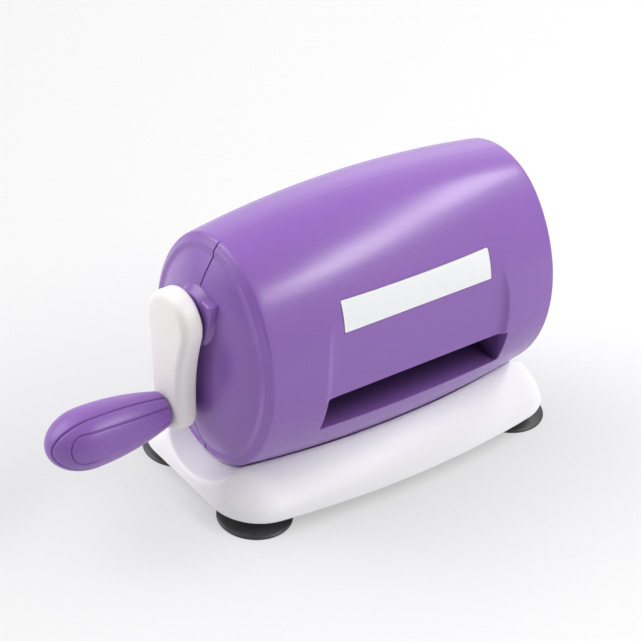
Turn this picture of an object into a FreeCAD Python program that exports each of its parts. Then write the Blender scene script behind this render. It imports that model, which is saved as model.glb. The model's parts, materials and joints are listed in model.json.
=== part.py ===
import FreeCAD, Part
import math
import os
from FreeCAD import Vector

os.makedirs("parts", exist_ok=True)

# Hand-cranked die cutting and embossing machine, millimetres, +Z up, X along the rollers.
# The crank end is at -X, the feed slot and the bare label face -Y, the feet stand on Z = 0.

# Barrel housing: an oval drum of four arcs, fuller in the middle, with bevelled and domed ends
ridge_half_length = 90.8
barrel_centre_z = 85.2
barrel_half_height = 72.0
barrel_half_depth = 56.4
barrel_shoulder = 7.5
barrel_fall = 6.8
barrel_narrowing = 4.4
end_ring_inset = 7.2
end_ring_step = 2.2
end_dome_height = 9.8
end_dome_inset = 31.0
ridge_round = 1.8
shell_wall = 2.6
seam_groove = 0.45
seam_depth = 0.8

# Straight runs that draw the drum's curves, over half its length and over each domed end
outer_bulge_runs = 3
outer_dome_runs = 4
inner_bulge_runs = 2
inner_dome_runs = 2

# Front panel, slot and label
gear_room = 33.8
slot_bottom_z = 53.3
slot_top_z = 75.3
slot_wall = 2.0
slot_sleeve_inner_y = 21.0
slot_floor_rise = 4.6
slot_ceiling_drop = 2.6
panel_margin = 2.0
panel_step_run = 4.0
panel_step_slope = 0.65
panel_top = (46.3, 128.0)
panel_middle = (51.3, 102.0)
panel_bottom = (51.8, slot_top_z)
label_margin = 10.0
label_bottom_z = 110.4
label_top_z = 126.2
label_thickness = 1.0
label_pocket_depth = 0.8
label_gap = 0.25
label_corner_radius = 1.2

# Rollers, their gears and the crank train
roller_radius = 14.0
roller_overlap = 1.0
nip_gap = 12.0
nip_centre_z = 65.0
journal_radius = 6.0
sync_teeth = 16
sync_module = (2.0 * roller_radius + nip_gap) / sync_teeth
sync_width = 9.0
drive_module = 1.5
pinion_teeth = 10
drive_teeth = 24
drive_width = 11.0
pressure_angle = 25.0
tooth_addendum = 0.8
tooth_dedendum = 1.05
backlash = 0.10
running_clearance = 0.05

# Side frames, bushes and tie rods
roller_end_gap = 2.0
frame_thickness = 5.0
gear_side_gap = 1.2
frame_foot_reach = 11.0
frame_foot_thickness = 4.0
frame_foot_half_width = 20.0
frame_foot_z = 25.5
frame_outline = ((20.0, frame_foot_z), (32.0, 38.0), (38.0, 62.0), (36.0, 122.0), (24.0, 134.0))
frame_corner_round = 5.0
bush_wall = 2.0
tie_rod_radius = 3.6
tie_rod_places = ((28.0, 120.0), (26.0, 38.0))

# Crank shaft, arm and grip
shaft_radius = 5.0
shaft_flat = 3.6
shaft_end_reach = 1.5
shaft_socket = 8.5
collar_radius = 13.6
collar_foot_radius = 17.5
collar_stand = 2.2
collar_height = 5.5
collar_boss_radius = 10.0
collar_boss_depth = 9.0
collar_lug_width = 8.0
collar_lug_length = 12.0
collar_lug_inner = 5.0
collar_lug_start = 1.5
washer_radius = 12.0
washer_thickness = 1.4
arm_gap = 2.5
arm_thickness = 12.0
arm_hub_radius = 17.6
arm_hub_lean = 2.0
arm_foot_radius = 13.0
arm_front_waist_radius = 115.0
arm_rear_waist_radius = 270.0
arm_length = 50.0
arm_outer_round = 4.4
arm_inner_round = 2.6
grub_radius = 2.0
grub_length = 7.0
pin_radius = 4.0
pin_collar_radius = 6.0
pin_collar_width = 3.0
pin_head_radius = 6.5
pin_head = 3.0
pin_reach = 30.0
pin_collar_start = 20.0
grip_gap = 1.4
grip_length = 66.5
grip_end_radius = 9.5
grip_bulb_radius = 15.9
grip_swell_length = 44.0
grip_tip_length = 22.0
grip_turn = 16.0
grip_parting_share = 0.83
grip_parting_reach = 0.992
grip_groove_depth = 0.7
grip_groove_width = 1.0
grip_panel_start = 3.6
grip_panel_half_width = 7.8
grip_panel_end = 59.8
grip_panel_depth = 4.0
grip_swell_runs = 5
grip_tip_runs = 5
grip_screw_places = (36.0, 52.0)

# Base and suction feet
base_bottom_z = 8.8
base_reach = 3.7
base_half_depth = 61.8
base_wall = 2.6
rim_z = 30.0
# Height, then what is taken off the half length and half depth, corner radius and its centre's y
base_steps = ((base_bottom_z, 0.0, 0.0, 28.0, 27.5),
              (14.0, 1.5, 3.3, 26.0, 26.0),
              (22.0, 5.5, 11.3, 21.0, 21.0),
              (rim_z, 9.5, 23.8, 15.0, 14.0))
cradle_gap = 0.5
scoop_gap = 5.5
scoop_drop = 4.5
scoop_start = 1.5
boss_rise = 0.6
foot_inset = 21.5
foot_y = 35.0
cup_radius = 20.0
cup_lip = 3.0
cup_lip_height = 1.1
cup_neck_radius = 6.5
cup_bend_share = 0.42
cup_hollow_height = 4.4
cup_stem_radius = 4.0
cup_stem_top_z = 18.0
foot_boss_radius = 9.5

# Fasteners
base_screw_inset = 5.0
base_screw_y = 13.0
screw_radius = 2.0
screw_head_radius = 3.8
screw_head = 2.6
pad_radius = 6.0
pad_bottom_z = 12.0
screw_end_gap = 0.5
shell_screw_upper = (38.0, 139.0)
shell_screw_lower_inset = 6.8
shell_screw_lower_z = 56.0
shell_screw_radius = 1.5
shell_screw_head_radius = 3.0
shell_screw_head = 2.0
shell_screw_seat_y = 8.0
shell_screw_length = 14.0
shell_post_radius = 4.6
grip_screw_length = 12.0

# Places that follow from the sizes above
lower_roller_z = nip_centre_z - nip_gap / 2.0 - roller_radius
upper_roller_z = nip_centre_z + nip_gap / 2.0 + roller_radius
crank_z = upper_roller_z + drive_module * (pinion_teeth + drive_teeth) / 2.0
grip_z = crank_z - arm_length
dome_apex_x = ridge_half_length + end_ring_step + end_dome_height
collar_rim_x = dome_apex_x + collar_stand
arm_inner_x = collar_rim_x + arm_gap
arm_outer_x = arm_inner_x + arm_thickness
grip_start_x = arm_outer_x + grip_gap
grip_tip_x = grip_start_x + grip_length
base_half_length = dome_apex_x + base_reach
foot_x = base_half_length - foot_inset
shell_screw_places = (shell_screw_upper,
                      (ridge_half_length - shell_screw_lower_inset, shell_screw_lower_z))
slot_half_width = ridge_half_length - gear_room
panel_half_width = slot_half_width + panel_margin
label_half_width = slot_half_width - label_margin
roller_half_length = slot_half_width + roller_overlap
frame_inner_x = roller_half_length + roller_end_gap
frame_outer_x = frame_inner_x + frame_thickness
shaft_inner_x = frame_inner_x - shaft_end_reach
base_screw_x = frame_inner_x - base_screw_inset
gear_inner_x = frame_outer_x + gear_side_gap
drive_outer_x = gear_inner_x + drive_width
sync_outer_x = gear_inner_x + sync_width
bush_outer_radius = journal_radius + running_clearance + bush_wall
crank_bush_radius = shaft_radius + running_clearance + bush_wall
far = 4.0 * barrel_half_height
grip_tip_turn = math.radians(80.0)
outside_y = barrel_half_depth + 10.0
# The row's origin is the middle of the whole machine's footprint on the table
origin_x = (base_half_length - grip_tip_x) / 2.0

AXIS_X = Vector(1, 0, 0)
AXIS_Y = Vector(0, 1, 0)
AXIS_Z = Vector(0, 0, 1)


def place(x, y, z):
    return Vector(x, y, z)


def line(a, b):
    return Part.makeLine(a, b)


def arc(a, b, c):
    return Part.Arc(a, b, c).toShape()


def face_of(edges):
    return Part.Face(Part.Wire(Part.__sortEdges__(edges)))


def rounded_polygon(points, radius):
    """Closed face of straight runs with an arc of this radius in each corner."""
    edges = []
    count = len(points)
    ends = []
    for i in range(count):
        corner = points[i]
        back = (points[i - 1] - corner).normalize()
        ahead = (points[(i + 1) % count] - corner).normalize()
        half = back.getAngle(ahead) / 2.0
        trim = radius / math.tan(half)
        inward = (back + ahead).normalize()
        middle = corner + inward * (radius / math.sin(half) - radius)
        edges.append(arc(corner + back * trim, middle, corner + ahead * trim))
        ends.append((corner + back * trim, corner + ahead * trim))
    for i in range(count):
        edges.append(line(ends[i - 1][1], ends[i][0]))
    return face_of(edges)


def polygon_x(points, x):
    """Face in the plane X = x through (y, z) points."""
    corners = [place(x, y, z) for y, z in points]
    return Part.Face(Part.makePolygon(corners + corners[:1]))


def rod_x(radius, x0, x1, y, z):
    """Round bar along X from x0 to x1."""
    low = min(x0, x1)
    return Part.makeCylinder(radius, abs(x1 - x0), place(low, y, z), AXIS_X)


def rod_y(radius, y0, y1, x, z):
    low = min(y0, y1)
    return Part.makeCylinder(radius, abs(y1 - y0), place(x, low, z), AXIS_Y)


def rod_z(radius, z0, z1, x, y):
    return Part.makeCylinder(radius, z1 - z0, place(x, y, z0), AXIS_Z)


def block(x0, x1, y0, y1, z0, z1):
    return Part.makeBox(x1 - x0, y1 - y0, z1 - z0, place(x0, y0, z0))


def revolve_z(points, x, y):
    """Turned body about the upright line at (x, y) from (radius, z) points."""
    corners = [place(r, 0, z) for r, z in points]
    face = Part.Face(Part.makePolygon(corners + corners[:1]))
    body = face.revolve(place(0, 0, 0), AXIS_Z, 360)
    body.translate(place(x, y, 0))
    return body


def export(name, shape):
    shape = shape.copy()
    shape.translate(place(-origin_x, 0, 0))
    shape.exportStep("parts/" + name + ".step")


def mirror_x(shape):
    return shape.mirror(place(0, 0, 0), AXIS_X)


def mirror_y(shape):
    return shape.mirror(place(0, 0, 0), AXIS_Y)


def front_space():
    return block(-far, far, -far, 0, -far, far)


def rear_space():
    return block(-far, far, 0, far, -far, far)


def oval_wire(x, grow_z, grow_y):
    """The barrel's oval of four arcs at x, higher and deeper by these amounts."""
    height = barrel_half_height + grow_z
    depth = barrel_half_depth + grow_y
    spare = barrel_shoulder + (grow_y - grow_z) / 2.0
    top_r = depth - spare
    rise = height - top_r
    across = (rise ** 2 - spare ** 2) / (2.0 * spare)
    side_r = depth + across
    lean = math.atan2(across, rise)
    join_y = top_r * math.sin(lean)
    join_z = rise + top_r * math.cos(lean)

    def at(y, z):
        return place(x, y, barrel_centre_z + z)

    return Part.Wire([arc(at(join_y, join_z), at(0, height), at(-join_y, join_z)),
                      arc(at(-join_y, join_z), at(across - side_r, 0), at(-join_y, -join_z)),
                      arc(at(-join_y, -join_z), at(0, -height), at(join_y, -join_z)),
                      arc(at(join_y, -join_z), at(side_r - across, 0), at(join_y, join_z))])


def oval_body(stations):
    """Solid along X through the barrel's oval at each (x, growth in z, growth in y)."""
    return Part.makeLoft([oval_wire(*station) for station in stations], True, True)


def drum(grow, bulge_runs, dome_runs):
    """The barrel's form, grown on every side, or shrunk where grow is below zero."""
    ridge = ridge_half_length + grow
    half = []
    for i in range(bulge_runs + 1):
        share = i / bulge_runs * (1.0 - ridge_round / ridge)
        half.append((ridge * share, grow - barrel_fall * share ** 2,
                     grow - barrel_narrowing * share ** 2))
    # The edge is rounded between the bulged side and the bevel by a curve through one point
    corner = (ridge, grow - barrel_fall, grow - barrel_narrowing)
    share = ridge_round / math.hypot(end_ring_step, end_ring_inset)
    after = (ridge + end_ring_step * share, corner[1] - end_ring_inset * share,
             corner[2] - end_ring_inset * share)
    half.append(tuple((a + 2.0 * b + c) / 4.0 for a, b, c in zip(half[-1], corner, after)))
    half.append(after)
    for i in range(dome_runs + 1):
        share = i / dome_runs
        inset = end_ring_inset + end_dome_inset * share
        half.append((ridge + end_ring_step + end_dome_height * (1.0 - (1.0 - share) ** 2),
                     corner[1] - inset, corner[2] - inset))
    return oval_body([(-x, z, y) for x, z, y in half[:0:-1]] + half)


def panel_cutter(grow):
    """What the flat front panel takes off a drum that is grown by this much."""
    top, middle, bottom = panel_top, panel_middle, panel_bottom
    sections = []
    for x, lift in ((-1, 1), (-1, 0), (1, 0), (1, 1)):
        reach = x * (panel_half_width - grow + lift * panel_step_run)
        back = grow + lift * panel_step_run * panel_step_slope
        high = place(reach, -top[0] - back, top[1])
        low = place(reach, -bottom[0] - back, bottom[1])
        crest = place(reach, -middle[0] - back, middle[1])
        outer_high = place(reach, -outside_y, top[1])
        outer_low = place(reach, -outside_y, bottom[1])
        edges = [arc(low, crest, high), line(high, outer_high),
                 line(outer_high, outer_low), line(outer_low, low)]
        sections.append(Part.Wire(edges))
    return Part.makeLoft(sections, True, True)


def front_body(grow, bulge_runs, dome_runs):
    """Front half of the barrel with its flat panel, grown by this much."""
    half = drum(grow, bulge_runs, dome_runs).common(front_space())
    return half.cut(panel_cutter(grow))


def slot_prism(grow):
    """The feed slot in front, from outside to the sleeve's inner end, grown by the sleeve's wall."""
    mouth_y = -panel_bottom[0]
    inner_y = -slot_sleeve_inner_y
    profile = ((-far, slot_bottom_z - grow), (mouth_y, slot_bottom_z - grow),
               (inner_y, slot_bottom_z + slot_floor_rise - grow),
               (inner_y, slot_top_z - slot_ceiling_drop + grow),
               (mouth_y, slot_top_z + grow), (-far, slot_top_z + grow))
    face = polygon_x(profile, -slot_half_width - grow)
    return face.extrude(place(2.0 * (slot_half_width + grow), 0, 0))


def screw_post_places():
    return [(side * x, z) for x, z in shell_screw_places for side in (-1, 1)]


def seam_cutter():
    """Fine groove that marks where the two shells meet on the end faces."""
    inner_x = ridge_half_length + ridge_round
    bar = block(inner_x, far, -seam_groove, seam_groove, 0, far)
    return bar.fuse(mirror_x(bar)).cut(drum(-seam_depth, 1, 2))


def collar(side_space):
    """Half of the crank's collar with its boss inside the shell."""
    rise = collar_height
    cone = Part.makeCone(collar_foot_radius, collar_radius, rise,
                         place(-collar_rim_x + rise, 0, crank_z), place(-1, 0, 0))
    boss = rod_x(collar_boss_radius, -collar_rim_x, -collar_rim_x + collar_boss_depth, 0, crank_z)
    return cone.fuse(boss).common(side_space)


def collar_lug():
    """Small stop beside the collar, on its front."""
    low = crank_z + collar_lug_start
    return block(-collar_rim_x, -collar_rim_x + collar_height,
                 -collar_lug_width - collar_lug_inner, -collar_lug_inner,
                 low, low + collar_lug_length)


def half_shell(outer, cavity, side_space, side):
    """One half of the barrel: skin, slot sleeve, collar half and posts; side is -1 in front."""
    prism = slot_prism(0.0)
    sleeve = slot_prism(slot_wall)
    if side > 0:
        prism = mirror_y(prism)
        sleeve = mirror_y(sleeve)
    shell = outer.cut(cavity)
    added = [sleeve.common(outer), collar(side_space)]
    if side < 0:
        added.append(collar_lug())
    cuts = [prism, seam_cutter()]
    cuts.append(rod_x(crank_bush_radius, -far, -collar_rim_x + collar_boss_depth, 0, crank_z))
    for x, z in screw_post_places():
        added.append(rod_y(shell_post_radius, 0, side * far, x, z).common(outer))
        cuts.append(rod_y(shell_screw_radius, shell_screw_seat_y - shell_screw_length,
                          shell_screw_seat_y, x, z))
        if side > 0:
            cuts.append(rod_y(shell_screw_head_radius, shell_screw_seat_y, far, x, z))
    for x in (-base_screw_x, base_screw_x):
        post = rod_z(pad_radius, 0, frame_foot_z, x, side * base_screw_y)
        added.append(post.common(outer))
        cuts.append(rod_z(screw_radius, 0, frame_foot_z, x, side * base_screw_y))
    return shell.fuse(added).cut(cuts)


def label_outline(grow):
    """Bar through the label's rounded rectangle, along Y."""
    half = label_half_width + grow
    low = label_bottom_z - grow
    high = label_top_z + grow
    corners = [place(-half, -far, low), place(half, -far, low),
               place(half, -far, high), place(-half, -far, high)]
    return rounded_polygon(corners, label_corner_radius + grow).extrude(place(0, far, 0))


def front_shell():
    outer = front_body(0.0, outer_bulge_runs, outer_dome_runs)
    cavity = front_body(-shell_wall, inner_bulge_runs, inner_dome_runs)
    shell = half_shell(outer, cavity, front_space(), -1)
    pocket = label_outline(label_gap).cut(front_body(-label_pocket_depth, outer_bulge_runs, 1))
    return shell.cut(pocket)


def rear_shell():
    outer = drum(0.0, outer_bulge_runs, outer_dome_runs).common(rear_space())
    cavity = drum(-shell_wall, inner_bulge_runs, inner_dome_runs).common(rear_space())
    return half_shell(outer, cavity, rear_space(), 1)


def label_plate():
    proud = front_body(label_thickness - label_pocket_depth, outer_bulge_runs, 1)
    floor = front_body(-label_pocket_depth, outer_bulge_runs, 1)
    return label_outline(0.0).common(proud).cut(floor)


def base_wire(z, half_length, half_depth, radius, centre_y):
    """Rounded outline of the base at one height, bowed out at front and back."""
    a = half_length - radius
    k = half_depth - centre_y
    bow = (a ** 2 + k ** 2 - radius ** 2) / (2.0 * (k - radius))
    lean = math.atan2(a, bow - k)
    tangent = place(a + radius * math.sin(lean), centre_y + radius * math.cos(lean), z)
    corner_lean = (math.pi / 2.0 + lean) / 2.0
    corner = place(a + radius * math.sin(corner_lean), centre_y + radius * math.cos(corner_lean), z)
    end = place(half_length, centre_y, z)

    def flip(point, sx, sy):
        return place(sx * point.x, sy * point.y, z)

    edges = []
    for sx, sy in ((1, 1), (-1, 1), (-1, -1), (1, -1)):
        near, far_end = (end, tangent) if sx * sy > 0 else (tangent, end)
        edges.append(arc(flip(near, sx, sy), flip(corner, sx, sy), flip(far_end, sx, sy)))
        if sx * sy > 0:
            middle = place(0, sy * half_depth, z)
            edges.append(arc(flip(tangent, sx, sy), middle, flip(tangent, -sx, sy)))
        else:
            edges.append(line(flip(end, sx, sy), flip(end, sx, -sy)))
    return Part.Wire(edges)


def base_block(inset):
    """The base's outside form, or smaller by this inset for its hollow."""
    wires = []
    for z, shorter, shallower, radius, centre_y in base_steps:
        level = z - inset if z > base_bottom_z else z
        wires.append(base_wire(level, base_half_length - shorter - inset,
                               base_half_depth - shallower - inset, radius - inset, centre_y))
    return Part.makeLoft(wires, True, True)


def scoop(grow):
    """Cut that opens each end of the base round the barrel's domed end."""
    inner = (ridge_half_length - scoop_start, grow - scoop_gap, grow - scoop_gap)
    flare = grow + scoop_drop - scoop_gap
    outer = (base_half_length + scoop_start, flare, flare)
    right = oval_body([inner, outer])
    return right.fuse(mirror_x(right))


def cradle(gap):
    """All that the barrel takes out of the base, wider by this gap."""
    return drum(gap, outer_bulge_runs, 2).fuse(scoop(gap))


def base():
    outer = base_block(0.0)
    hollow = base_block(base_wall).cut(cradle(cradle_gap + base_wall))
    tray = outer.cut(cradle(cradle_gap)).cut(hollow)
    boss_z = base_bottom_z + boss_rise
    added = []
    cuts = []
    for sx in (-1, 1):
        for sy in (-1, 1):
            boss = rod_z(foot_boss_radius, boss_z, rim_z, sx * foot_x, sy * foot_y)
            added.append(boss.common(outer).cut(cradle(cradle_gap)))
            cuts.append(rod_z(cup_stem_radius, 0, cup_stem_top_z, sx * foot_x, sy * foot_y))
            pad = rod_z(pad_radius, pad_bottom_z, rim_z, sx * base_screw_x, sy * base_screw_y)
            added.append(pad.cut(drum(0.0, outer_bulge_runs, 2)))
            cuts.append(rod_z(screw_radius, 0, rim_z, sx * base_screw_x, sy * base_screw_y))
    return tray.fuse(added).cut(cuts)


def suction_foot(x, y):
    neck_z = base_bottom_z + boss_rise
    bend_z = (neck_z + cup_lip_height) / 2.0
    bend_r = cup_neck_radius + (cup_radius - cup_neck_radius) * cup_bend_share
    return revolve_z(((cup_radius - cup_lip, 0), (cup_radius, 0), (cup_radius, cup_lip_height),
                      (bend_r, bend_z), (cup_neck_radius, neck_z), (cup_stem_radius, neck_z),
                      (cup_stem_radius, cup_stem_top_z), (0, cup_stem_top_z),
                      (0, cup_hollow_height), (cup_neck_radius, cup_hollow_height)), x, y)


def suction_feet():
    return Part.makeCompound([suction_foot(sx * foot_x, sy * foot_y)
                              for sx in (-1, 1) for sy in (-1, 1)])


def side_frame(side):
    """Steel side plate with its folded foot; side is -1 at the crank end."""
    right = [place(frame_inner_x, y, z) for y, z in frame_outline]
    left = [place(frame_inner_x, -y, z) for y, z in reversed(frame_outline)]
    plate = rounded_polygon(right + left, frame_corner_round)
    plate = plate.extrude(place(frame_thickness, 0, 0))
    foot = block(frame_inner_x - frame_foot_reach, frame_outer_x, -frame_foot_half_width,
                 frame_foot_half_width, frame_foot_z, frame_foot_z + frame_foot_thickness)
    cuts = [rod_x(bush_outer_radius, 0, far, 0, z) for z in (lower_roller_z, upper_roller_z)]
    for y, z in tie_rod_places:
        for sy in (-1, 1):
            cuts.append(rod_x(tie_rod_radius, 0, far, sy * y, z))
    for sy in (-1, 1):
        cuts.append(rod_z(screw_radius, 0, rim_z, base_screw_x, sy * base_screw_y))
    if side < 0:
        cuts.append(rod_x(crank_bush_radius, 0, far, 0, crank_z))
    frame = plate.fuse(foot).cut(cuts)
    return mirror_x(frame) if side < 0 else frame


def tie_rods():
    return Part.makeCompound([rod_x(tie_rod_radius, -frame_outer_x, frame_outer_x, sy * y, z)
                              for y, z in tie_rod_places for sy in (-1, 1)])


def tube_x(outer_radius, bore_radius, x0, x1, z):
    return rod_x(outer_radius, x0, x1, 0, z).cut(rod_x(bore_radius, x0, x1, 0, z))


def roller_bushings():
    inner_x = roller_half_length + running_clearance
    bore = journal_radius + running_clearance
    return Part.makeCompound([tube_x(bush_outer_radius, bore, side * inner_x, side * frame_outer_x, z)
                              for side in (-1, 1) for z in (lower_roller_z, upper_roller_z)])


def crank_bushings():
    bore = shaft_radius + running_clearance
    inner = tube_x(crank_bush_radius, bore, -frame_inner_x, -frame_outer_x, crank_z)
    outer = tube_x(crank_bush_radius, bore, -collar_rim_x + collar_boss_depth, -collar_rim_x, crank_z)
    return inner, outer


def involute(angle):
    return math.tan(angle) - angle


def gear(module, teeth, width, bore, x, z, phase):
    """Spur gear on X with involute flanks drawn as arcs; phase turns its first tooth off +Z."""
    pitch_r = module * teeth / 2.0
    base_r = pitch_r * math.cos(math.radians(pressure_angle))
    tip_r = pitch_r + tooth_addendum * module
    root_r = pitch_r - tooth_dedendum * module
    half_pitch = math.pi / (2.0 * teeth) - backlash / (4.0 * pitch_r)
    start = half_pitch + involute(math.radians(pressure_angle))

    def flank(radius):
        return start - involute(math.acos(min(1.0, base_r / radius)))

    def at(radius, angle):
        return place(x, -radius * math.sin(angle), z + radius * math.cos(angle))

    flank_r = max(base_r, root_r)
    middle_r = (flank_r + tip_r) / 2.0
    step = 2.0 * math.pi / teeth
    edges = []
    for i in range(teeth):
        turn = math.radians(phase) + i * step
        for side in (-1, 1):
            edges.append(arc(at(flank_r, turn + side * flank(flank_r)),
                             at(middle_r, turn + side * flank(middle_r)),
                             at(tip_r, turn + side * flank(tip_r))))
            if root_r < base_r:
                edges.append(line(at(root_r, turn + side * flank(flank_r)),
                                  at(flank_r, turn + side * flank(flank_r))))
        edges.append(line(at(tip_r, turn - flank(tip_r)), at(tip_r, turn + flank(tip_r))))
        edges.append(line(at(min(root_r, flank_r), turn + flank(flank_r)),
                          at(min(root_r, flank_r), turn + step - flank(flank_r))))
    blank = face_of(edges).extrude(place(width, 0, 0))
    return blank.cut(rod_x(bore, x - width, x + 2.0 * width, 0, z))


def roller(z, left_x):
    body = rod_x(roller_radius, -roller_half_length, roller_half_length, 0, z)
    return body.fuse(rod_x(journal_radius, -left_x, sync_outer_x, 0, z))


def crank_shaft():
    end_x = arm_inner_x + shaft_socket
    shaft = rod_x(shaft_radius, -end_x, -shaft_inner_x, 0, crank_z)
    for side in (-1, 1):
        shaft = shaft.cut(block(-end_x, -arm_inner_x, min(side * shaft_flat, side * far),
                                max(side * shaft_flat, side * far), 0, far))
    return shaft


def arm_outline(x, inset):
    """The arm's outline at one depth, drawn in by this inset: two ends and two waist arcs."""
    hub = place(x, arm_hub_lean, crank_z)
    foot = place(x, 0, grip_z)
    span = (foot - hub).Length
    along = (foot - hub).normalize()
    across = AXIS_X.cross(along)
    sides = []
    for waist, reach in ((arm_rear_waist_radius, across), (arm_front_waist_radius, across * -1.0)):
        hub_reach = arm_hub_radius + waist
        foot_reach = arm_foot_radius + waist
        drop = (hub_reach ** 2 - foot_reach ** 2 + span ** 2) / (2.0 * span)
        centre = hub + along * drop + reach * math.sqrt(hub_reach ** 2 - drop ** 2)
        ends = [centre + (end - centre).normalize() * (waist + inset) for end in (hub, foot)]
        towards = (ends[0] + ends[1]) * 0.5 - centre
        sides.append((ends[0], centre + towards.normalize() * (waist + inset), ends[1]))
    rear, front = sides
    edges = [arc(*rear),
             arc(rear[2], foot + along * (arm_foot_radius - inset), front[2]),
             arc(front[2], front[1], front[0]),
             arc(front[0], hub - along * (arm_hub_radius - inset), rear[0])]
    return Part.Wire(edges)


def rounding(radius, runs):
    """(depth, inset) steps of a quarter round, from the face inwards."""
    angles = [math.pi / 2.0 * i / runs for i in range(runs + 1)]
    return [(radius * (1.0 - math.cos(a)), radius * (1.0 - math.sin(a))) for a in angles]


def crank_arm():
    outer = [arm_outline(-arm_outer_x + depth, inset)
             for depth, inset in rounding(arm_outer_round, 3)]
    inner = [arm_outline(-arm_inner_x - depth, inset)
             for depth, inset in rounding(arm_inner_round, 2)]
    arm = Part.makeLoft(outer + inner[::-1], True, True)
    grub_y = shaft_flat + grub_length
    cuts = [crank_shaft(), crank_arm_pin(), rod_y(grub_radius, shaft_flat, grub_y + far,
                                                  -arm_inner_x - shaft_socket / 2.0, crank_z)]
    return arm.cut(cuts)


def crank_arm_pin():
    """The pin that the grip turns on, with its head sunk in the arm and a collar in the grip."""
    head = rod_x(pin_head_radius, -arm_inner_x - pin_head, -arm_inner_x, 0, grip_z)
    stem = rod_x(pin_radius, -grip_start_x - pin_reach, -arm_inner_x, 0, grip_z)
    ring = rod_x(pin_collar_radius, -grip_start_x - pin_collar_start - pin_collar_width,
                 -grip_start_x - pin_collar_start, 0, grip_z)
    return head.fuse([stem, ring])


def arm_grub_screw():
    return rod_y(grub_radius, shaft_flat, shaft_flat + grub_length,
                 -arm_inner_x - shaft_socket / 2.0, crank_z)


def grip_stations():
    """(distance from the arm, radius) along the grip: a long swell with a rounded tip."""
    swell = grip_bulb_radius - grip_end_radius
    tip_start = grip_length - grip_tip_length
    stations = []
    for i in range(grip_swell_runs + 1):
        share = i / grip_swell_runs
        stations.append((grip_swell_length * share,
                         grip_end_radius + swell * (1.0 - (1.0 - share) ** 2)))
    for i in range(grip_tip_runs + 1):
        turn = grip_tip_turn * i / grip_tip_runs
        reach = grip_tip_length * math.sin(turn) / math.sin(grip_tip_turn)
        stations.append((tip_start + reach, grip_bulb_radius * math.cos(turn)))
    return stations


def grip_blank(shrink):
    """The grip's turned form, smaller all round by this much."""
    chain = [place(-grip_start_x - min(s, grip_length - shrink), 0, grip_z + r - shrink)
             for s, r in grip_stations()]
    chain.append(place(chain[-1].x, 0, grip_z))
    chain.append(place(chain[0].x, 0, grip_z))
    face = Part.Face(Part.makePolygon(chain + chain[:1]))
    return face.revolve(place(0, 0, grip_z), AXIS_X, 360.0)


def grip_parting(grow):
    """Bar along Y, wider by this much, that holds all of the front half and none of the rear."""
    upper = [(-grip_start_x + 1.0, grip_parting_share * grip_end_radius + grow)]
    for s, r in grip_stations()[1:]:
        upper.append((-grip_start_x - s * grip_parting_reach - grow, grip_parting_share * r + grow))
    chain = [place(x, 0, grip_z + w) for x, w in upper]
    chain += [place(x, 0, grip_z - w) for x, w in upper[::-1]]
    face = Part.Face(Part.makePolygon(chain + chain[:1]))
    return face.extrude(place(0, -outside_y, 0))


def turned_to_rest(shape):
    """The same shape with the front of the grip tipped up, as it hangs at rest."""
    shape.rotate(place(0, 0, grip_z), AXIS_X, -grip_turn)
    return shape


def grip_half(side):
    """One moulded half of the grip with its share of the pin's bearing; side is -1 in front."""
    parting = grip_parting(0.0)
    blank = grip_blank(0.0).common(parting) if side < 0 else grip_blank(0.0).cut(parting)
    marks = grip_grooves().cut(grip_blank(grip_groove_depth))
    bore = rod_x(pin_radius + running_clearance, -grip_start_x - pin_reach - running_clearance,
                 -grip_start_x, 0, grip_z)
    ring = rod_x(pin_collar_radius + running_clearance,
                 -grip_start_x - pin_collar_start - pin_collar_width - running_clearance,
                 -grip_start_x - pin_collar_start + running_clearance, 0, grip_z)
    cuts = [marks, bore, ring]
    for along in grip_screw_places:
        x = -grip_start_x - along
        cuts.append(rod_y(shell_screw_radius, shell_screw_seat_y - grip_screw_length,
                          shell_screw_seat_y, x, grip_z))
        if side > 0:
            cuts.append(rod_y(shell_screw_head_radius, shell_screw_seat_y, outside_y, x, grip_z))
    return turned_to_rest(blank.cut(cuts))


def grip_grooves():
    """Grooves of the grip: along the parting line, and round the oval panel inside it."""
    half = grip_groove_width / 2.0
    seam = grip_parting(half).cut(grip_parting(-half))
    return seam.fuse(grip_panel(half).cut(grip_panel(-half)))


def grip_panel(grow):
    """Long oval bar along Y, open towards the arm, that outlines the grip's front panel."""
    start_y = -grip_panel_depth
    start_x = -grip_start_x + 1.0
    nose_x = -grip_start_x - grip_panel_end - grow
    wide = grip_panel_half_width + grow
    wide_x = nose_x + wide
    start = grip_panel_start + grow
    middle_x = (start_x + wide_x) / 2.0
    middle = (start + 2.0 * wide) / 3.0
    points = [place(start_x, start_y, grip_z + start), place(wide_x, start_y, grip_z + wide),
              place(wide_x, start_y, grip_z - wide), place(start_x, start_y, grip_z - start)]
    edges = [arc(points[0], place(middle_x, start_y, grip_z + middle), points[1]),
             arc(points[1], place(nose_x, start_y, grip_z), points[2]),
             arc(points[2], place(middle_x, start_y, grip_z - middle), points[3]),
             line(points[3], points[0])]
    return face_of(edges).extrude(place(0, -outside_y, 0))


def screw_y(x, z, length):
    head = rod_y(shell_screw_head_radius, shell_screw_seat_y, shell_screw_seat_y + shell_screw_head, x, z)
    return head.fuse(rod_y(shell_screw_radius, shell_screw_seat_y - length, shell_screw_seat_y, x, z))


def shell_screws():
    return Part.makeCompound([screw_y(x, z, shell_screw_length) for x, z in screw_post_places()])


def grip_screws():
    return turned_to_rest(Part.makeCompound([screw_y(-grip_start_x - along, grip_z, grip_screw_length)
                                             for along in grip_screw_places]))


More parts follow.
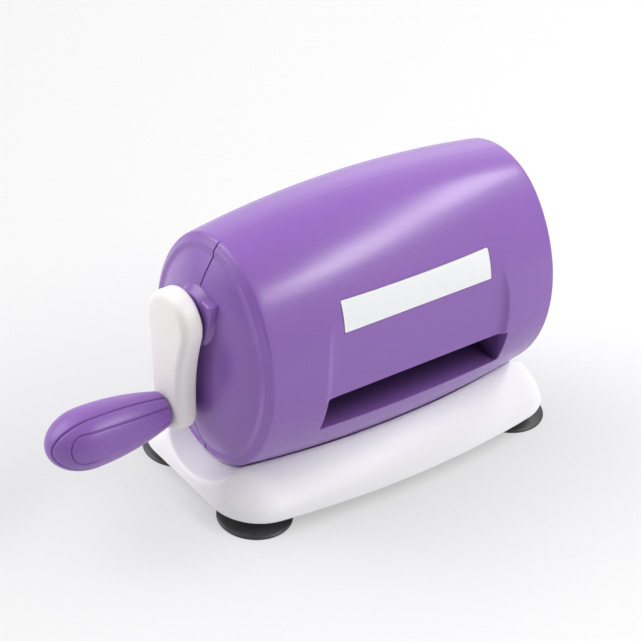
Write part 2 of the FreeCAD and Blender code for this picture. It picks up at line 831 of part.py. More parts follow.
def base_screws():
    screws = []
    top_z = frame_foot_z + frame_foot_thickness - screw_end_gap
    for sx in (-1, 1):
        for sy in (-1, 1):
            x, y = sx * base_screw_x, sy * base_screw_y
            head = rod_z(screw_head_radius, pad_bottom_z - screw_head, pad_bottom_z, x, y)
            screws.append(head.fuse(rod_z(screw_radius, pad_bottom_z, top_z, x, y)))
    return Part.makeCompound(screws)


def crank_washer():
    return tube_x(washer_radius, shaft_radius, -arm_inner_x, -arm_inner_x + washer_thickness, crank_z)


export("front_shell", front_shell())
export("rear_shell", rear_shell())
export("label_plate", label_plate())
export("base", base())
export("suction_feet", suction_feet())
export("side_frame_left", side_frame(-1))
export("side_frame_right", side_frame(1))
export("tie_rods", tie_rods())
export("roller_bushings", roller_bushings())
inner_bushing, outer_bushing = crank_bushings()
export("crank_bushing_inner", inner_bushing)
export("crank_bushing_outer", outer_bushing)
export("upper_roller", roller(upper_roller_z, drive_outer_x))
export("lower_roller", roller(lower_roller_z, frame_outer_x))
export("drive_gear", gear(drive_module, drive_teeth, drive_width, journal_radius,
                          -drive_outer_x, upper_roller_z, 180.0 / drive_teeth))
export("crank_pinion", gear(drive_module, pinion_teeth, drive_width, shaft_radius,
                            -drive_outer_x, crank_z, 0.0))
export("sync_gear_upper", gear(sync_module, sync_teeth, sync_width, journal_radius,
                               gear_inner_x, upper_roller_z, 0.0))
export("sync_gear_lower", gear(sync_module, sync_teeth, sync_width, journal_radius,
                               gear_inner_x, lower_roller_z, 180.0 / sync_teeth))
export("crank_shaft", crank_shaft())
export("crank_washer", crank_washer())
export("crank_arm", crank_arm())
export("arm_grub_screw", arm_grub_screw())
export("handle_pin", crank_arm_pin())
export("grip_front_half", grip_half(-1))
export("grip_rear_half", grip_half(1))
export("grip_screws", grip_screws())
export("base_screws", base_screws())
export("shell_screws", shell_screws())
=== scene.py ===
import json
import math
import bmesh
import bpy
import numpy as np
from mathutils import Matrix, Vector


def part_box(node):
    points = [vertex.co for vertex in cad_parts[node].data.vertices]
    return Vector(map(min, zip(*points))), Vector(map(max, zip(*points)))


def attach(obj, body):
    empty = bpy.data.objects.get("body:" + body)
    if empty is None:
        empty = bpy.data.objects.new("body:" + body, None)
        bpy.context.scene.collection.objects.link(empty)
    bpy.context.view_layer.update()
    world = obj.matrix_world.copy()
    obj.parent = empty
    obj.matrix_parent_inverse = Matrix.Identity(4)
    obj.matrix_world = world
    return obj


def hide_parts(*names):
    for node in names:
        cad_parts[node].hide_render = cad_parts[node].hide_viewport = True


# Looks of the hand-cranked die cutting and embossing machine. Forms are worked out in the
# machine's own millimetres, x = 0 in the middle of the barrel, and moved to the frame's metres.

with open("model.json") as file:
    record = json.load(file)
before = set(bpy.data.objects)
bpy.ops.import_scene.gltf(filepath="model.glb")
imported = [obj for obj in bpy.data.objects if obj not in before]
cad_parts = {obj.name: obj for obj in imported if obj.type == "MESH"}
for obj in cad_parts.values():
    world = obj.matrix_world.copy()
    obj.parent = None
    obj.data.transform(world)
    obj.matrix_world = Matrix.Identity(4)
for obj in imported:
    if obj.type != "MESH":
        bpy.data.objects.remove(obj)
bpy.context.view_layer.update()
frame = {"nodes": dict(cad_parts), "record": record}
low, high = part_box("tie_rods")
SHIFT = (low.x + high.x) / 2

SHARP_ANGLE = math.radians(35)

# Barrel: half length, middle, half height and half depth, then how its oval and ends are shaped
RIDGE, ZC, HEIGHT, DEPTH = 90.8, 85.2, 72.0, 56.4
SHOULDER, FALL, NARROW = 7.5, 6.8, 4.4
RING_INSET, RING_STEP, DOME_INSET, DOME_HEIGHT = 7.2, 2.2, 31.0, 9.8
WALL = 2.6
APEX = RIDGE + RING_STEP + DOME_HEIGHT
# Where the bevel at the ends begins, and the skin's highest and lowest lines
BULGE_END, SKIN_HIGH, SKIN_LOW = RIDGE - 1.8, 146.0, 38.0
# Smallest distance between two lines of the skin, and how far the lining keeps from an opening
LINE_GAP, LINING_GAP = 0.3, 1.2

# Slot, panel and label
SLOT_X, SLOT_MIDDLE, SLOT_LOW, SLOT_HIGH, SLEEVE_Y = 58.5, 1.7, 52.7, 73.7, 21.0
SLOT_R, FLOOR_RISE, CEILING_DROP, SLEEVE_X, PANEL_FOOT = 1.6, 5.2, 1.0, 57.0, 75.3
# The sleeve's outer wall: half width, middle, half height, corner, and where it meets the shell
WALL_X, WALL_Z, WALL_RISE, WALL_R = 58.8, 65.3, 9.2, 2.0
ROOT_Y, ROOT_Z, ROOT_RISE = 47.5, 64.4, 12.5
# The panel's side walls: how far they rise from SCOOP_X to PANEL_X, and how soft its edge is
PANEL_X, SCOOP_X, SCOOP_RISE, SOFT = 62.5, 51.2, 9.0, 1.5
LABEL_X, LABEL_LOW, LABEL_HIGH, LABEL_R = 47.0, 110.4, 126.2, 0.6
LABEL_PROUD, LABEL_GAP, POCKET = 0.05, 0.45, 0.9
# Recesses of the rear shell's screws: places (x, z), mirrored, and radius
RECESSES, RECESS_R = ((38.0, 139.0), (84.0, 56.0)), 3.0

# Base and feet
BASE_LOW, BASE_HIGH, BASE_EDGE, BASE_X, BASE_Y = 8.8, 30.0, 1.1, APEX + 3.7, 61.8
# At these heights the length's and depth's inset, the corner's radius and its centre's y
BASE_LEVELS = ((BASE_LOW, 0.0, 0.0, 28.0, 27.5), (14.0, 1.5, 3.3, 26.0, 26.0),
               (22.0, 5.5, 11.3, 21.0, 21.0), (BASE_HIGH, 9.5, 23.8, 15.0, 14.0))
CRADLE_GAP, FOOT_X, FOOT_Y, BOSS_X, BOSS_Y = 0.5, 85.0, 35.0, 55.0, 13.0
CORNERS = [(sx, sy) for sx in (-1, 1) for sy in (-1, 1)]

# Crank and grip
CRANK_Z, GRIP_Z, ARM_X, ARM_OUT_X = 110.5, 60.5, 107.5, 119.5
HUB_Y, HUB_R, FOOT_R, REAR_WAIST, FRONT_WAIST = 2.0, 17.6, 13.0, 270.0, 115.0
INNER_EDGE, OUTER_EDGE = 2.6, 4.4
GRIP_X, GRIP_END, GRIP_BULB, GRIP_SWELL = 120.9, 9.5, 15.9, 44.0
TIP_X, TIP_LENGTH = 44.5, 22.0 / math.sin(math.radians(80))
GRIP_TURN = math.radians(16)
# The grip's front panel: half width at its start, its nose's start and end, half width there
TONGUE_START, TONGUE_NOSE, TONGUE_END, TONGUE_WIDE = 3.6, 52.0, 59.8, 7.8
NOSE_POINTS = 19


def smin(a, b, k):
    """The lower of two heights, blended over k."""
    share = np.clip(0.5 + 0.5 * (b - a) / k, 0, 1)
    return b + (a - b) * share - k * share * (1 - share)


def glide(a, b, t):
    """Smooth step of t from a to b."""
    t = np.clip((t - a) / (b - a), 0, 1)
    return t * t * (3 - 2 * t)


class Skin:
    """Points in millimetres and faces between them, gathered piece by piece."""

    def __init__(self):
        self.points = []
        self.faces = []
        self.count = 0

    def add(self, points):
        points = np.asarray(points, float)
        flat = points.reshape(-1, 3)
        start = self.count
        self.points.append(flat)
        self.count += len(flat)
        return (start + np.arange(len(flat))).reshape(points.shape[:-1])

    def strip(self, a, b, closed=True):
        n = len(a)
        for i in range(n if closed else n - 1):
            j = (i + 1) % n
            self.faces.append((a[i], a[j], b[j], b[i]))

    def net(self, ids, closed=False, holes=()):
        """Faces over a grid of point numbers, but for blocks (i0, i1, j0, j1) of holes."""
        rows, cols = ids.shape
        for i in range(rows - 1):
            for j in range(cols if closed else cols - 1):
                if any(a <= i < b and c <= j < d for a, b, c, d in holes):
                    continue
                k = (j + 1) % cols
                self.faces.append((ids[i, j], ids[i, k], ids[i + 1, k], ids[i + 1, j]))

    def rings(self, loops, closed=True):
        ids = self.add(loops)
        for a, b in zip(ids[:-1], ids[1:]):
            self.strip(a, b, closed)
        return ids

    def cap(self, loop):
        self.faces.append(tuple(loop))

    def build(self, inward=False):
        """A mesh in the frame's metres, welded, its faces turned outwards."""
        bm = bmesh.new()
        points = np.concatenate(self.points)
        points = points / 1000 + np.array([SHIFT, 0, 0])
        verts = [bm.verts.new(p) for p in points]
        for face in self.faces:
            if len(set(face)) > 2:
                try:
                    bm.faces.new([verts[i] for i in face])
                except ValueError:
                    pass
        bmesh.ops.delete(bm, geom=[v for v in bm.verts if not v.link_faces], context="VERTS")
        bmesh.ops.remove_doubles(bm, verts=bm.verts, dist=4e-6)
        bmesh.ops.dissolve_degenerate(bm, edges=bm.edges, dist=1e-6)
        bmesh.ops.recalc_face_normals(bm, faces=bm.faces)
        if inward:
            bmesh.ops.reverse_faces(bm, faces=bm.faces)
        mesh = bpy.data.meshes.new("skin")
        bm.to_mesh(mesh)
        bm.free()
        return mesh


def piece(name, skins, body, slot, replaced):
    """One object from (skin, inward) pairs that rides on a body and stands for CAD nodes."""
    bm = bmesh.new()
    for skin, inward in skins:
        mesh = skin.build(inward)
        bm.from_mesh(mesh)
        bpy.data.meshes.remove(mesh)
    mesh = bpy.data.meshes.new(name)
    bm.to_mesh(mesh)
    bm.free()
    mesh.shade_smooth()
    mesh.set_sharp_from_angle(angle=SHARP_ANGLE)
    obj = bpy.data.objects.new(name, mesh)
    bpy.context.scene.collection.objects.link(obj)
    obj.data.materials.append(looks[slot])
    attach(obj, body)
    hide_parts(*replaced)
    return obj


# One material for each slot of the record, filled in below
looks = {}


def oval(gz, gy):
    """Numbers of the barrel's oval of four arcs, grown by gz and gy."""
    height = HEIGHT + gz
    depth = DEPTH + gy
    spare = SHOULDER + (gy - gz) / 2
    top_r = depth - spare
    rise = height - top_r
    across = (rise ** 2 - spare ** 2) / (2 * spare)
    side_r = depth + across
    lean = np.arctan2(across, rise)
    return top_r, rise, across, side_r, lean


def oval_depth(z, gz, gy):
    """Half depth of the oval at a height above its middle."""
    top_r, rise, across, side_r, lean = oval(gz, gy)
    side = np.sqrt(np.maximum(side_r ** 2 - z ** 2, 0)) - across
    crown = np.sqrt(np.maximum(top_r ** 2 - (np.abs(z) - rise) ** 2, 0))
    return np.where(np.abs(z) < rise + top_r * np.cos(lean), side, crown)


def oval_drop(y, gz, gy):
    """How far the oval reaches below its middle at y, and zero beyond its depth."""
    top_r, rise, across, side_r, lean = oval(gz, gy)
    y = np.abs(y)
    crown = rise + np.sqrt(np.maximum(top_r ** 2 - y ** 2, 0))
    side = np.sqrt(np.maximum(side_r ** 2 - (y + across) ** 2, 0))
    return np.where(y < top_r * np.sin(lean), crown, side)


def oval_angle(z, gz, gy):
    """Angle of the oval's outward direction from straight up at a height above its middle."""
    top_r, rise, across, side_r, lean = oval(gz, gy)
    turn = math.acos(np.clip(abs(z) / side_r, -1, 1))
    if abs(z) > rise + top_r * math.cos(lean):
        turn = math.acos(np.clip((abs(z) - rise) / top_r, -1, 1))
    return turn if z >= 0 else math.pi - turn


def oval_point(turn, gz, gy):
    """(depth, height) on the oval where it faces this angle from straight up."""
    top_r, rise, across, side_r, lean = oval(gz, gy)
    upper = np.minimum(turn, np.pi - turn)
    sign = np.where(turn <= np.pi / 2, 1, -1)
    depth = np.where(upper < lean, top_r * np.sin(upper), side_r * np.sin(upper) - across)
    height = np.where(upper < lean, rise + top_r * np.cos(upper), side_r * np.cos(upper))
    return depth, sign * height


def growth(x):
    """How much the oval is smaller at x than in the barrel's middle, in height and depth."""
    share = np.minimum(np.abs(x) / RIDGE, 1)
    return -FALL * share ** 2, -NARROW * share ** 2


def circle_through(a, b, c):
    """Centre and radius of the circle through three points of a plane."""
    d = 2 * (a[0] * (b[1] - c[1]) + b[0] * (c[1] - a[1]) + c[0] * (a[1] - b[1]))
    sums = [p[0] ** 2 + p[1] ** 2 for p in (a, b, c)]
    x = (sums[0] * (b[1] - c[1]) + sums[1] * (c[1] - a[1]) + sums[2] * (a[1] - b[1])) / d
    y = (sums[0] * (c[0] - b[0]) + sums[1] * (a[0] - c[0]) + sums[2] * (b[0] - a[0])) / d
    return x, y, math.hypot(a[0] - x, a[1] - y)


PANEL_ARC = circle_through((46.3, 128.0), (51.3, 102.0), (51.8, PANEL_FOOT))


def side_depth(x, z, side):
    """Depth of the barrel's skin at (x, z), with the flat panel where side is -1."""
    drum = oval_depth(z - ZC, *growth(x))
    if side > 0:
        return drum
    cx, cz, radius = PANEL_ARC
    flat = cx + np.sqrt(np.maximum(radius ** 2 - (np.maximum(z, PANEL_FOOT) - cz) ** 2, 0))
    flat = flat + 0.25 * np.maximum(PANEL_FOOT - z, 0)
    flat = flat + SCOOP_RISE * (np.maximum(np.abs(x) - SCOOP_X, 0) / (PANEL_X - SCOOP_X)) ** 3
    return smin(drum, flat, SOFT - 1.2 * glide(50, 57, np.abs(x)))


def lines(start, end, step, special):
    """Evenly spaced numbers that make way for the special ones."""
    plain = np.linspace(start, end, int(round(abs(end - start) / step)) + 1)
    special = sorted(set(special))
    kept = [v for v in plain[1:-1] if all(abs(v - s) > 0.55 * step for s in special)]
    inside = [s for s in special if min(start, end) + 0.3 < s < max(start, end) - 0.3]
    every = sorted(kept + inside + [start, end])
    return np.array(every if start < end else every[::-1])


def around(middle, half, step):
    """Evenly spaced numbers on both sides of a middle."""
    return list(np.arange(-half, half + step / 2, step) + middle)


def rounded(points, cx, cz, a, b, r):
    """Nearest points of a rounded rectangle to (x, z) points outside it."""
    local = points - np.array([cx, cz])
    core = np.clip(local, [r - a, r - b], [a - r, b - r])
    away = local - core
    away = away / np.maximum(np.linalg.norm(away, axis=1, keepdims=True), 1e-9)
    return core + away * r + np.array([cx, cz])


def thinned(values, corners):
    """Positions of lines, not too close together, that make way for the openings' corners."""
    kept = []
    for v in sorted(values):
        if not kept or v - kept[-1] > LINE_GAP:
            kept.append(v)
    corners = sorted(set(corners))
    return [v for v in kept if all(abs(v - c) > LINE_GAP for c in corners)] + corners


def bend(a, b, c, steps):
    """Points of the curve from a to c that b pulls towards itself."""
    return [tuple((1 - t) ** 2 * p + 2 * t * (1 - t) * q + t ** 2 * s for p, q, s in zip(a, b, c))
            for t in steps]


def end_profile(grow):
    """(x, growth in z, growth in y) beyond the bulged side, to the middle of the end."""
    ridge = RIDGE + grow
    gz, gy = -FALL + grow, -NARROW + grow
    trim = RIDGE - BULGE_END
    share = trim / math.hypot(RING_STEP, RING_INSET)
    a = (ridge - trim, 0.28 * trim / 2)
    b = (ridge, 0.0)
    c = (ridge + RING_STEP * share, -RING_INSET * share)
    rows = bend(a, b, c, np.linspace(0.2, 1, 5))
    # A bevel, then a narrow ring, then the dome, with soft changes between them
    corners = [c, (ridge + 2.35, -4.0), (ridge + RING_STEP, -RING_INSET - 0.2)]
    dome_x, dome_rim = corners[-1]
    start = 0.07

    def dome(t):
        return dome_x + DOME_HEIGHT * (1 - (1 - t) ** 2), dome_rim - DOME_INSET * t

    corners.append(dome(start))
    for before, corner, after in zip(corners, corners[1:], corners[2:]):
        before = tuple(q + (p - q) * 0.3 for p, q in zip(before, corner))
        after = tuple(q + (p - q) * 0.3 for p, q in zip(after, corner))
        rows += bend(before, corner, after, np.linspace(0, 1, 6))
    rows += [dome(t) for t in np.linspace(start, 1, 14)]
    return [(x, gz + g, gy + g) for x, g in rows]


def shell_net(side, xs, zs, crown_rows, grow, seam):
    """Points of one shell's skin as a grid of stations by rows, and the x and z lines' numbers.

    With a seam its edges are rounded off where the two shells meet.
    """
    stations = []
    for x in xs:
        gz, gy = growth(x)
        stations.append((x, gz + grow, gy + grow, 1.0))
    tail = [(x, gz, gy, 1.0) for x, gz, gy in end_profile(grow)]
    last = tail[-1]
    # The end's last rows close over its middle, which stands out by 0.25
    tail += [(last[0] + 0.25 * (1 - s * s), last[1], last[2], s) for s in (0.75, 0.5, 0.25, 0.0)]
    stations = [(-x, gz, gy, s) for x, gz, gy, s in tail[::-1]] + stations + tail
    first = len(tail)
    ridge_height = HEIGHT - FALL + grow
    net = []
    for number, (x, gz, gy, scale) in enumerate(stations):
        bulged = first <= number < first + len(xs)
        ratio = 1.0 if bulged else (HEIGHT + gz) / ridge_height
        top_r = oval(gz, gy)[0]
        # The seam is a fine line along the barrel and wider over its ends. Its rows are given as
        # distance from the parting plane and depth below the skin
        gap, turn_in = (0.012, 0.07) if bulged else (0.27, 0.3)
        rows = []
        near = [(gap, 0.9), (gap, turn_in), (gap + 0.3 * turn_in, 0.3 * turn_in),
                (gap + turn_in, 0.0), (gap + turn_in + 0.2, 0.0)] if seam else [(0.0, 0.0)]
        for end in (0, 1):
            z_edge = (zs[0 if end == 0 else -1] - ZC) * ratio
            limit = oval_angle(z_edge, gz, gy)
            edge = [math.asin(min(0.9, g / top_r)) for g, _ in near]
            edge = edge if end == 0 else [math.pi - t for t in edge]
            turns = edge + list(np.linspace(edge[-1], limit, crown_rows + 1)[1:-1])
            part = [oval_point(np.array(t), gz, gy) for t in turns]
            sunk = [d for _, d in near] + [0.0] * (len(part) - len(near))
            part = [(x, side * float(d), float(h), s) for (d, h), s in zip(part, sunk)]
            if end == 0:
                rows += part
                for z in zs:
                    h = (z - ZC) * ratio
                    depth = side_depth(np.array(x), np.array(z), side) + grow if bulged \
                        else oval_depth(np.array(h), gz, gy)
                    rows.append((x, side * float(depth), h, 0.0))
            else:
                rows += part[::-1]
        net.append([(px, py * scale, ph * scale + ZC, ps) for px, py, ph, ps in rows])
    net = np.array(net)
    points, sunk = net[..., :3], net[..., 3]
    if seam:
        along = np.gradient(points, axis=0)
        down = np.gradient(points, axis=1)
        facing = np.cross(along, down)
        facing /= np.maximum(np.linalg.norm(facing, axis=2, keepdims=True), 1e-9)
        middle = np.array([0, 0, ZC])
        outward = np.sign(np.sum(facing * (points - middle), axis=2, keepdims=True))
        facing = facing * outward
        points = points - facing * sunk[..., None]
    return points, first, len(near) + crown_rows - 1


def block_loop(ids, i0, i1, j0, j1):
    """Point numbers round the edge of a block of the grid."""
    loop = [ids[i, j0] for i in range(i0, i1)] + [ids[i1, j] for j in range(j0, j1)]
    loop += [ids[i, j1] for i in range(i1, i0, -1)] + [ids[i0, j] for j in range(j1, j0, -1)]
    return np.array(loop)


def opening(skin, loop, outer, side, mouth, fillet, depth_of):
    """Rounded opening in a block of the grid: blends to its edge, turns in, returns that edge."""
    cx, cz, a, b, r = mouth
    edge = rounded(outer, cx, cz, a + fillet, b + fillet, r + fillet)
    before = loop
    for t in (0.45, 0.8, 1.0):
        xz = outer * (1 - t) + edge * t
        y = side * depth_of(xz[:, 0], xz[:, 1])
        now = skin.add(np.stack([xz[:, 0], y, xz[:, 1]], 1))
        skin.strip(before, now)
        before = now
    for turn in (22.5, 45, 67.5, 90):
        turn = math.radians(turn)
        g = fillet * (1 - math.sin(turn))
        xz = rounded(outer, cx, cz, a + g, b + g, r + g)
        y = side * (depth_of(xz[:, 0], xz[:, 1]) - fillet * (1 - math.cos(turn)))
        points = np.stack([xz[:, 0], y, xz[:, 1]], 1)
        now = skin.add(points)
        skin.strip(before, now)
        before = now
    return before, points


def index_of(values, wanted):
    """Number of the value that is nearest to the wanted one."""
    return int(np.argmin(np.abs(np.asarray(values) - wanted)))


def hole_block(x_lines, z_lines, first, second, hole, margin):
    """The block of the grid round an opening, as i0, i1, j0, j1."""
    cx, cz, a, b = hole[:4]
    i0, i1 = (first + index_of(x_lines, x) for x in (cx - a - margin, cx + a + margin))
    j0, j1 = (second + index_of(z_lines, z) for z in (cz + b + margin, cz - b - margin))
    return i0, i1, j0, j1


def shell(side):
    """Skin of one moulded half of the barrel; side is -1 in front."""
    # Openings: centre x and z, half width, half height, corner, margin to the grid
    holes = [(SLOT_MIDDLE, 0.5 * (SLOT_LOW + SLOT_HIGH), SLOT_X, (SLOT_HIGH - SLOT_LOW) / 2,
              SLOT_R, 3.0)]
    xs = around(SLOT_MIDDLE - SLOT_X, 3, 0.75) + around(SLOT_MIDDLE + SLOT_X, 3, 0.75)
    zs = around(SLOT_LOW, 3, 0.75) + around(SLOT_HIGH, 3, 0.75)
    if side < 0:
        margin = 1.55
        holes.append((0.0, (LABEL_LOW + LABEL_HIGH) / 2, LABEL_X + LABEL_GAP,
                      (LABEL_HIGH - LABEL_LOW) / 2 + LABEL_GAP, LABEL_R + LABEL_GAP, margin))
        for sign in (-1, 1):
            xs += around(sign * (LABEL_X + LABEL_GAP), margin, 0.5)
            xs += around(sign * 58.5, 5.0, 0.5)
        for z in (LABEL_LOW - LABEL_GAP, LABEL_HIGH + LABEL_GAP):
            zs += around(z, margin, 0.5)
        zs += [z for z in np.arange(118.0, 135.0, 1.0)
               if not LABEL_LOW - 2.5 < z < LABEL_HIGH + 2.5]
    else:
        for x, z in RECESSES:
            for sign in (-1, 1):
                holes.append((sign * x, z, RECESS_R, RECESS_R, RECESS_R, 1.5))
                xs += around(sign * x, 4.5, 0.75)
            zs += around(z, 4.5, 0.75)
    xs = thinned(xs, [h[0] + t * (h[2] + h[5]) for h in holes for t in (-1, 1)])
    zs = thinned(zs, [h[1] + t * (h[3] + h[5]) for h in holes for t in (-1, 1)])
    x_lines = lines(-BULGE_END, BULGE_END, 3.0, xs)
    z_lines = lines(SKIN_HIGH, SKIN_LOW, 2.2, zs)
    points, first, second = shell_net(side, x_lines, z_lines, 14, 0.0, True)
    skin = Skin()
    ids = skin.add(points)
    blocks = [hole_block(x_lines, z_lines, first, second, hole, hole[5]) for hole in holes]
    skin.net(ids, holes=blocks)
    flat = points.reshape(-1, 3)

    def depth_of(x, z):
        return side_depth(x, z, side)

    for number, ((cx, cz, a, b, r, margin), block) in enumerate(zip(holes, blocks)):
        loop = block_loop(ids, *block)
        outer = flat[loop][:, [0, 2]]
        fillet = 0.5 if number == 0 else 0.2
        edge, at = opening(skin, loop, outer, side, (cx, cz, a, b, r), fillet, depth_of)
        if number == 0:
            deep = np.abs(at[:, 1])
            up = (at[:, 2] - SLOT_LOW) / (SLOT_HIGH - SLOT_LOW)
            for share in (0.01, 0.1, 0.3, 0.5, 0.75, 1.0):
                z = at[:, 2] + share * (FLOOR_RISE * (1 - up) - CEILING_DROP * up)
                narrow = np.clip(at[:, 0], -SLEEVE_X, SLEEVE_X)
                x = at[:, 0] + min(2 * share, 1) * (narrow - at[:, 0])
                now = skin.add(np.stack([x, side * (deep + (SLEEVE_Y - deep) * share), z], 1))
                skin.strip(edge, now)
                edge = now
            wide = np.stack([at[:, 0] * 2, (z - WALL_Z) * 6 + WALL_Z], 1)
            wall = rounded(wide, 0.0, WALL_Z, WALL_X, WALL_RISE, WALL_R)
            now = skin.add(np.stack([wall[:, 0], np.full(len(z), side * SLEEVE_Y), wall[:, 1]], 1))
            skin.strip(edge, now)
            outside = ROOT_Z + (wall[:, 1] - WALL_Z) * ROOT_RISE / WALL_RISE
            back = skin.add(np.stack([wall[:, 0], np.full(len(z), side * ROOT_Y), outside], 1))
            skin.strip(now, back)
        elif side < 0:
            for grow in (0.0, -3.0, -7.9):
                xz = rounded(outer, cx, cz, a + grow, b + grow, max(r + grow, 0.05))
                y = side * (depth_of(xz[:, 0], xz[:, 1]) - POCKET)
                now = skin.add(np.stack([xz[:, 0], y, xz[:, 1]], 1))
                skin.strip(edge, now)
                edge = now
        else:
            away = at[:, [0, 2]] - np.array([cx, cz])
            away /= np.linalg.norm(away, axis=1, keepdims=True)
            for depth, radius in ((20.0, RECESS_R), (8.0, RECESS_R), (8.0, RECESS_R / 2)):
                xz = away * radius + np.array([cx, cz])
                now = skin.add(np.stack([xz[:, 0], np.full(len(xz), side * depth), xz[:, 1]], 1))
                skin.strip(edge, now)
                edge = now
    return [(skin, False), (shell_lining(side, holes), True)]


def shell_lining(side, holes):
    """The inside of a shell and the rim where it meets the other."""
    special_x = [h[0] + t * (h[2] + LINING_GAP) for h in holes for t in (-1, 1)]
    special_z = [h[1] + t * (h[3] + LINING_GAP) for h in holes for t in (-1, 1)]
    x_lines = lines(-BULGE_END, BULGE_END, 12.0, special_x)
    z_lines = lines(SKIN_HIGH, SKIN_LOW, 9.0, special_z)
    points, first, second = shell_net(side, x_lines, z_lines, 5, -WALL, False)
    skin = Skin()
    ids = skin.add(points)
    through = [hole for number, hole in enumerate(holes) if side > 0 or number != 1]
    skin.net(ids, holes=[hole_block(x_lines, z_lines, first, second, hole, LINING_GAP)
                         for hole in through])
    outer, _, _ = shell_net(side, x_lines, z_lines, 5, -0.4, False)
    for row in (0, -1):
        rim, out = points[:, row], outer[:, row]
        parting = np.full(len(rim), side * 0.02)
        a = skin.add(np.stack([rim[:, 0], parting, rim[:, 2]], 1))
        b = skin.add(np.stack([out[:, 0], parting, out[:, 2]], 1))
        skin.strip(a, b, closed=False)
    return skin


def collar(side):
    """Half of the crank's collar on the left end, its foot flared into the dome."""
    rows = [(21.5, 98.2), (19.4, 98.9), (18.0, 99.6), (17.0, 100.4), (15.9, 101.8),
            (14.6, 103.6), (14.25, 104.2), (13.9, 104.72), (13.3, 105.0), (7.9, 105.0),
            (7.5, 104.8), (7.3, 104.4), (7.3, 96.0)]
    turns = np.linspace(0, math.pi, 33)
    bore, gap = 8.1, 0.03
    loops = []
    for radius, x in rows:
        y = side * radius * np.sin(turns)
        if radius > bore:
            y = np.where(np.abs(y) < gap, side * gap, y)
        loops.append(np.stack([np.full(len(turns), -x), y, CRANK_Z + radius * np.cos(turns)], 1))
    skin = Skin()
    skin.rings(loops, closed=False)
    return skin


def soft_block(x0, x1, y0, y1, z0, z1, r):
    """Small moulded block with rounded edges."""
    centre = np.array([(x0 + x1) / 2, (y0 + y1) / 2, (z0 + z1) / 2])
    half = np.array([(x1 - x0) / 2 - r, (y1 - y0) / 2 - r, (z1 - z0) / 2 - r])
    steps = 14
    loops = []
    for lat in np.linspace(-math.pi / 2, math.pi / 2, steps):
        ring = []
        for lon in np.linspace(0, 2 * math.pi, 4 * steps, endpoint=False):
            d = np.array([math.cos(lat) * math.cos(lon), math.cos(lat) * math.sin(lon),
                          math.sin(lat)])
            corner = np.where(d < 0, -1, 1)
            ring.append(centre + half * corner + d * r)
        loops.append(ring)
    skin = Skin()
    ids = skin.rings(np.array(loops))
    skin.cap(ids[0])
    skin.cap(ids[-1])
    return skin


def label():
    """The bare white plate, its edge turned over, following the panel."""
    cz = (LABEL_LOW + LABEL_HIGH) / 2
    a, b = LABEL_X, (LABEL_HIGH - LABEL_LOW) / 2
    last = 1.5
    along = np.linspace(last - a, a - last, 61)
    up = np.linspace(last - b, b - last, 11)
    fan = np.linspace(0, math.pi / 2, 7)[1:-1]
    reach = 5
    outer = []
    for x, z, start in ((-1, -1, math.pi), (1, -1, 1.5 * math.pi), (1, 1, 0),
                        (-1, 1, 0.5 * math.pi)):
        outer += [(x * a + reach * math.cos(start + t), z * b + reach * math.sin(start + t))
                  for t in fan]
        if x == z:
            outer += [(q * -z, z * (b + reach)) for q in along]
        else:
            outer += [(x * (a + reach), q * x) for q in up]
    outer = np.array(outer) + np.array([0, cz])
    loops = []
    for inset, proud in ((0, -0.7), (0, 0), (0.06, 0.1), (0.2, 0.18), (0.45, LABEL_PROUD),
                         (1.0, LABEL_PROUD), (last, LABEL_PROUD)):
        xz = rounded(outer, 0.0, cz, a - inset, b - inset, max(LABEL_R - inset, 1e-4))
        y = -(side_depth(xz[:, 0], xz[:, 1], -1) + proud)
        loops.append(np.stack([xz[:, 0], y, xz[:, 1]], 1))
    skin = Skin()
    skin.rings(loops)
    x, z = np.meshgrid(along, up + cz)
    skin.net(skin.add(np.stack([x, -(side_depth(x, z, -1) + LABEL_PROUD), z], 2)))
    return skin


def base_sizes(z):
    """Half length, half depth, corner radius and its centre's y at a height, on a smooth curve."""
    heights = np.array([level[0] for level in BASE_LEVELS])
    values = np.array([level[1:] for level in BASE_LEVELS])
    slopes = np.gradient(values, heights, axis=0)
    k = int(np.clip(np.searchsorted(heights, z) - 1, 0, 2))
    h = heights[k + 1] - heights[k]
    t = (z - heights[k]) / h
    row = ((2 * t ** 3 - 3 * t ** 2 + 1) * values[k] + (t ** 3 - 2 * t ** 2 + t) * h * slopes[k]
           + (3 * t ** 2 - 2 * t ** 3) * values[k + 1] + (t ** 3 - t ** 2) * h * slopes[k + 1])
    return BASE_X - row[0], BASE_Y - row[1], row[2], row[3]


def base_outline(half_length, half_depth, radius, centre_y):
    """Points (x, y) round the base, bowed out at front and back."""
    a = half_length - radius
    k = half_depth - centre_y
    bow = (a ** 2 + k ** 2 - radius ** 2) / (2 * (k - radius))
    lean = math.atan2(a, bow - k)
    end = [(half_length, y) for y in np.linspace(0, centre_y, 10, endpoint=False)]
    corner = [(a + radius * math.cos(t), centre_y + radius * math.sin(t))
              for t in np.linspace(0, math.pi / 2 - lean, 14, endpoint=False)]
    side = [(bow * math.sin(t), half_depth - bow + bow * math.cos(t))
            for t in np.linspace(lean, 0, 34)]
    quarter = np.array(end + corner + side)
    left = quarter[::-1][1:] * np.array([-1, 1])
    half = np.concatenate([quarter, left])
    return np.concatenate([half, half[::-1][1:-1] * np.array([1, -1])])


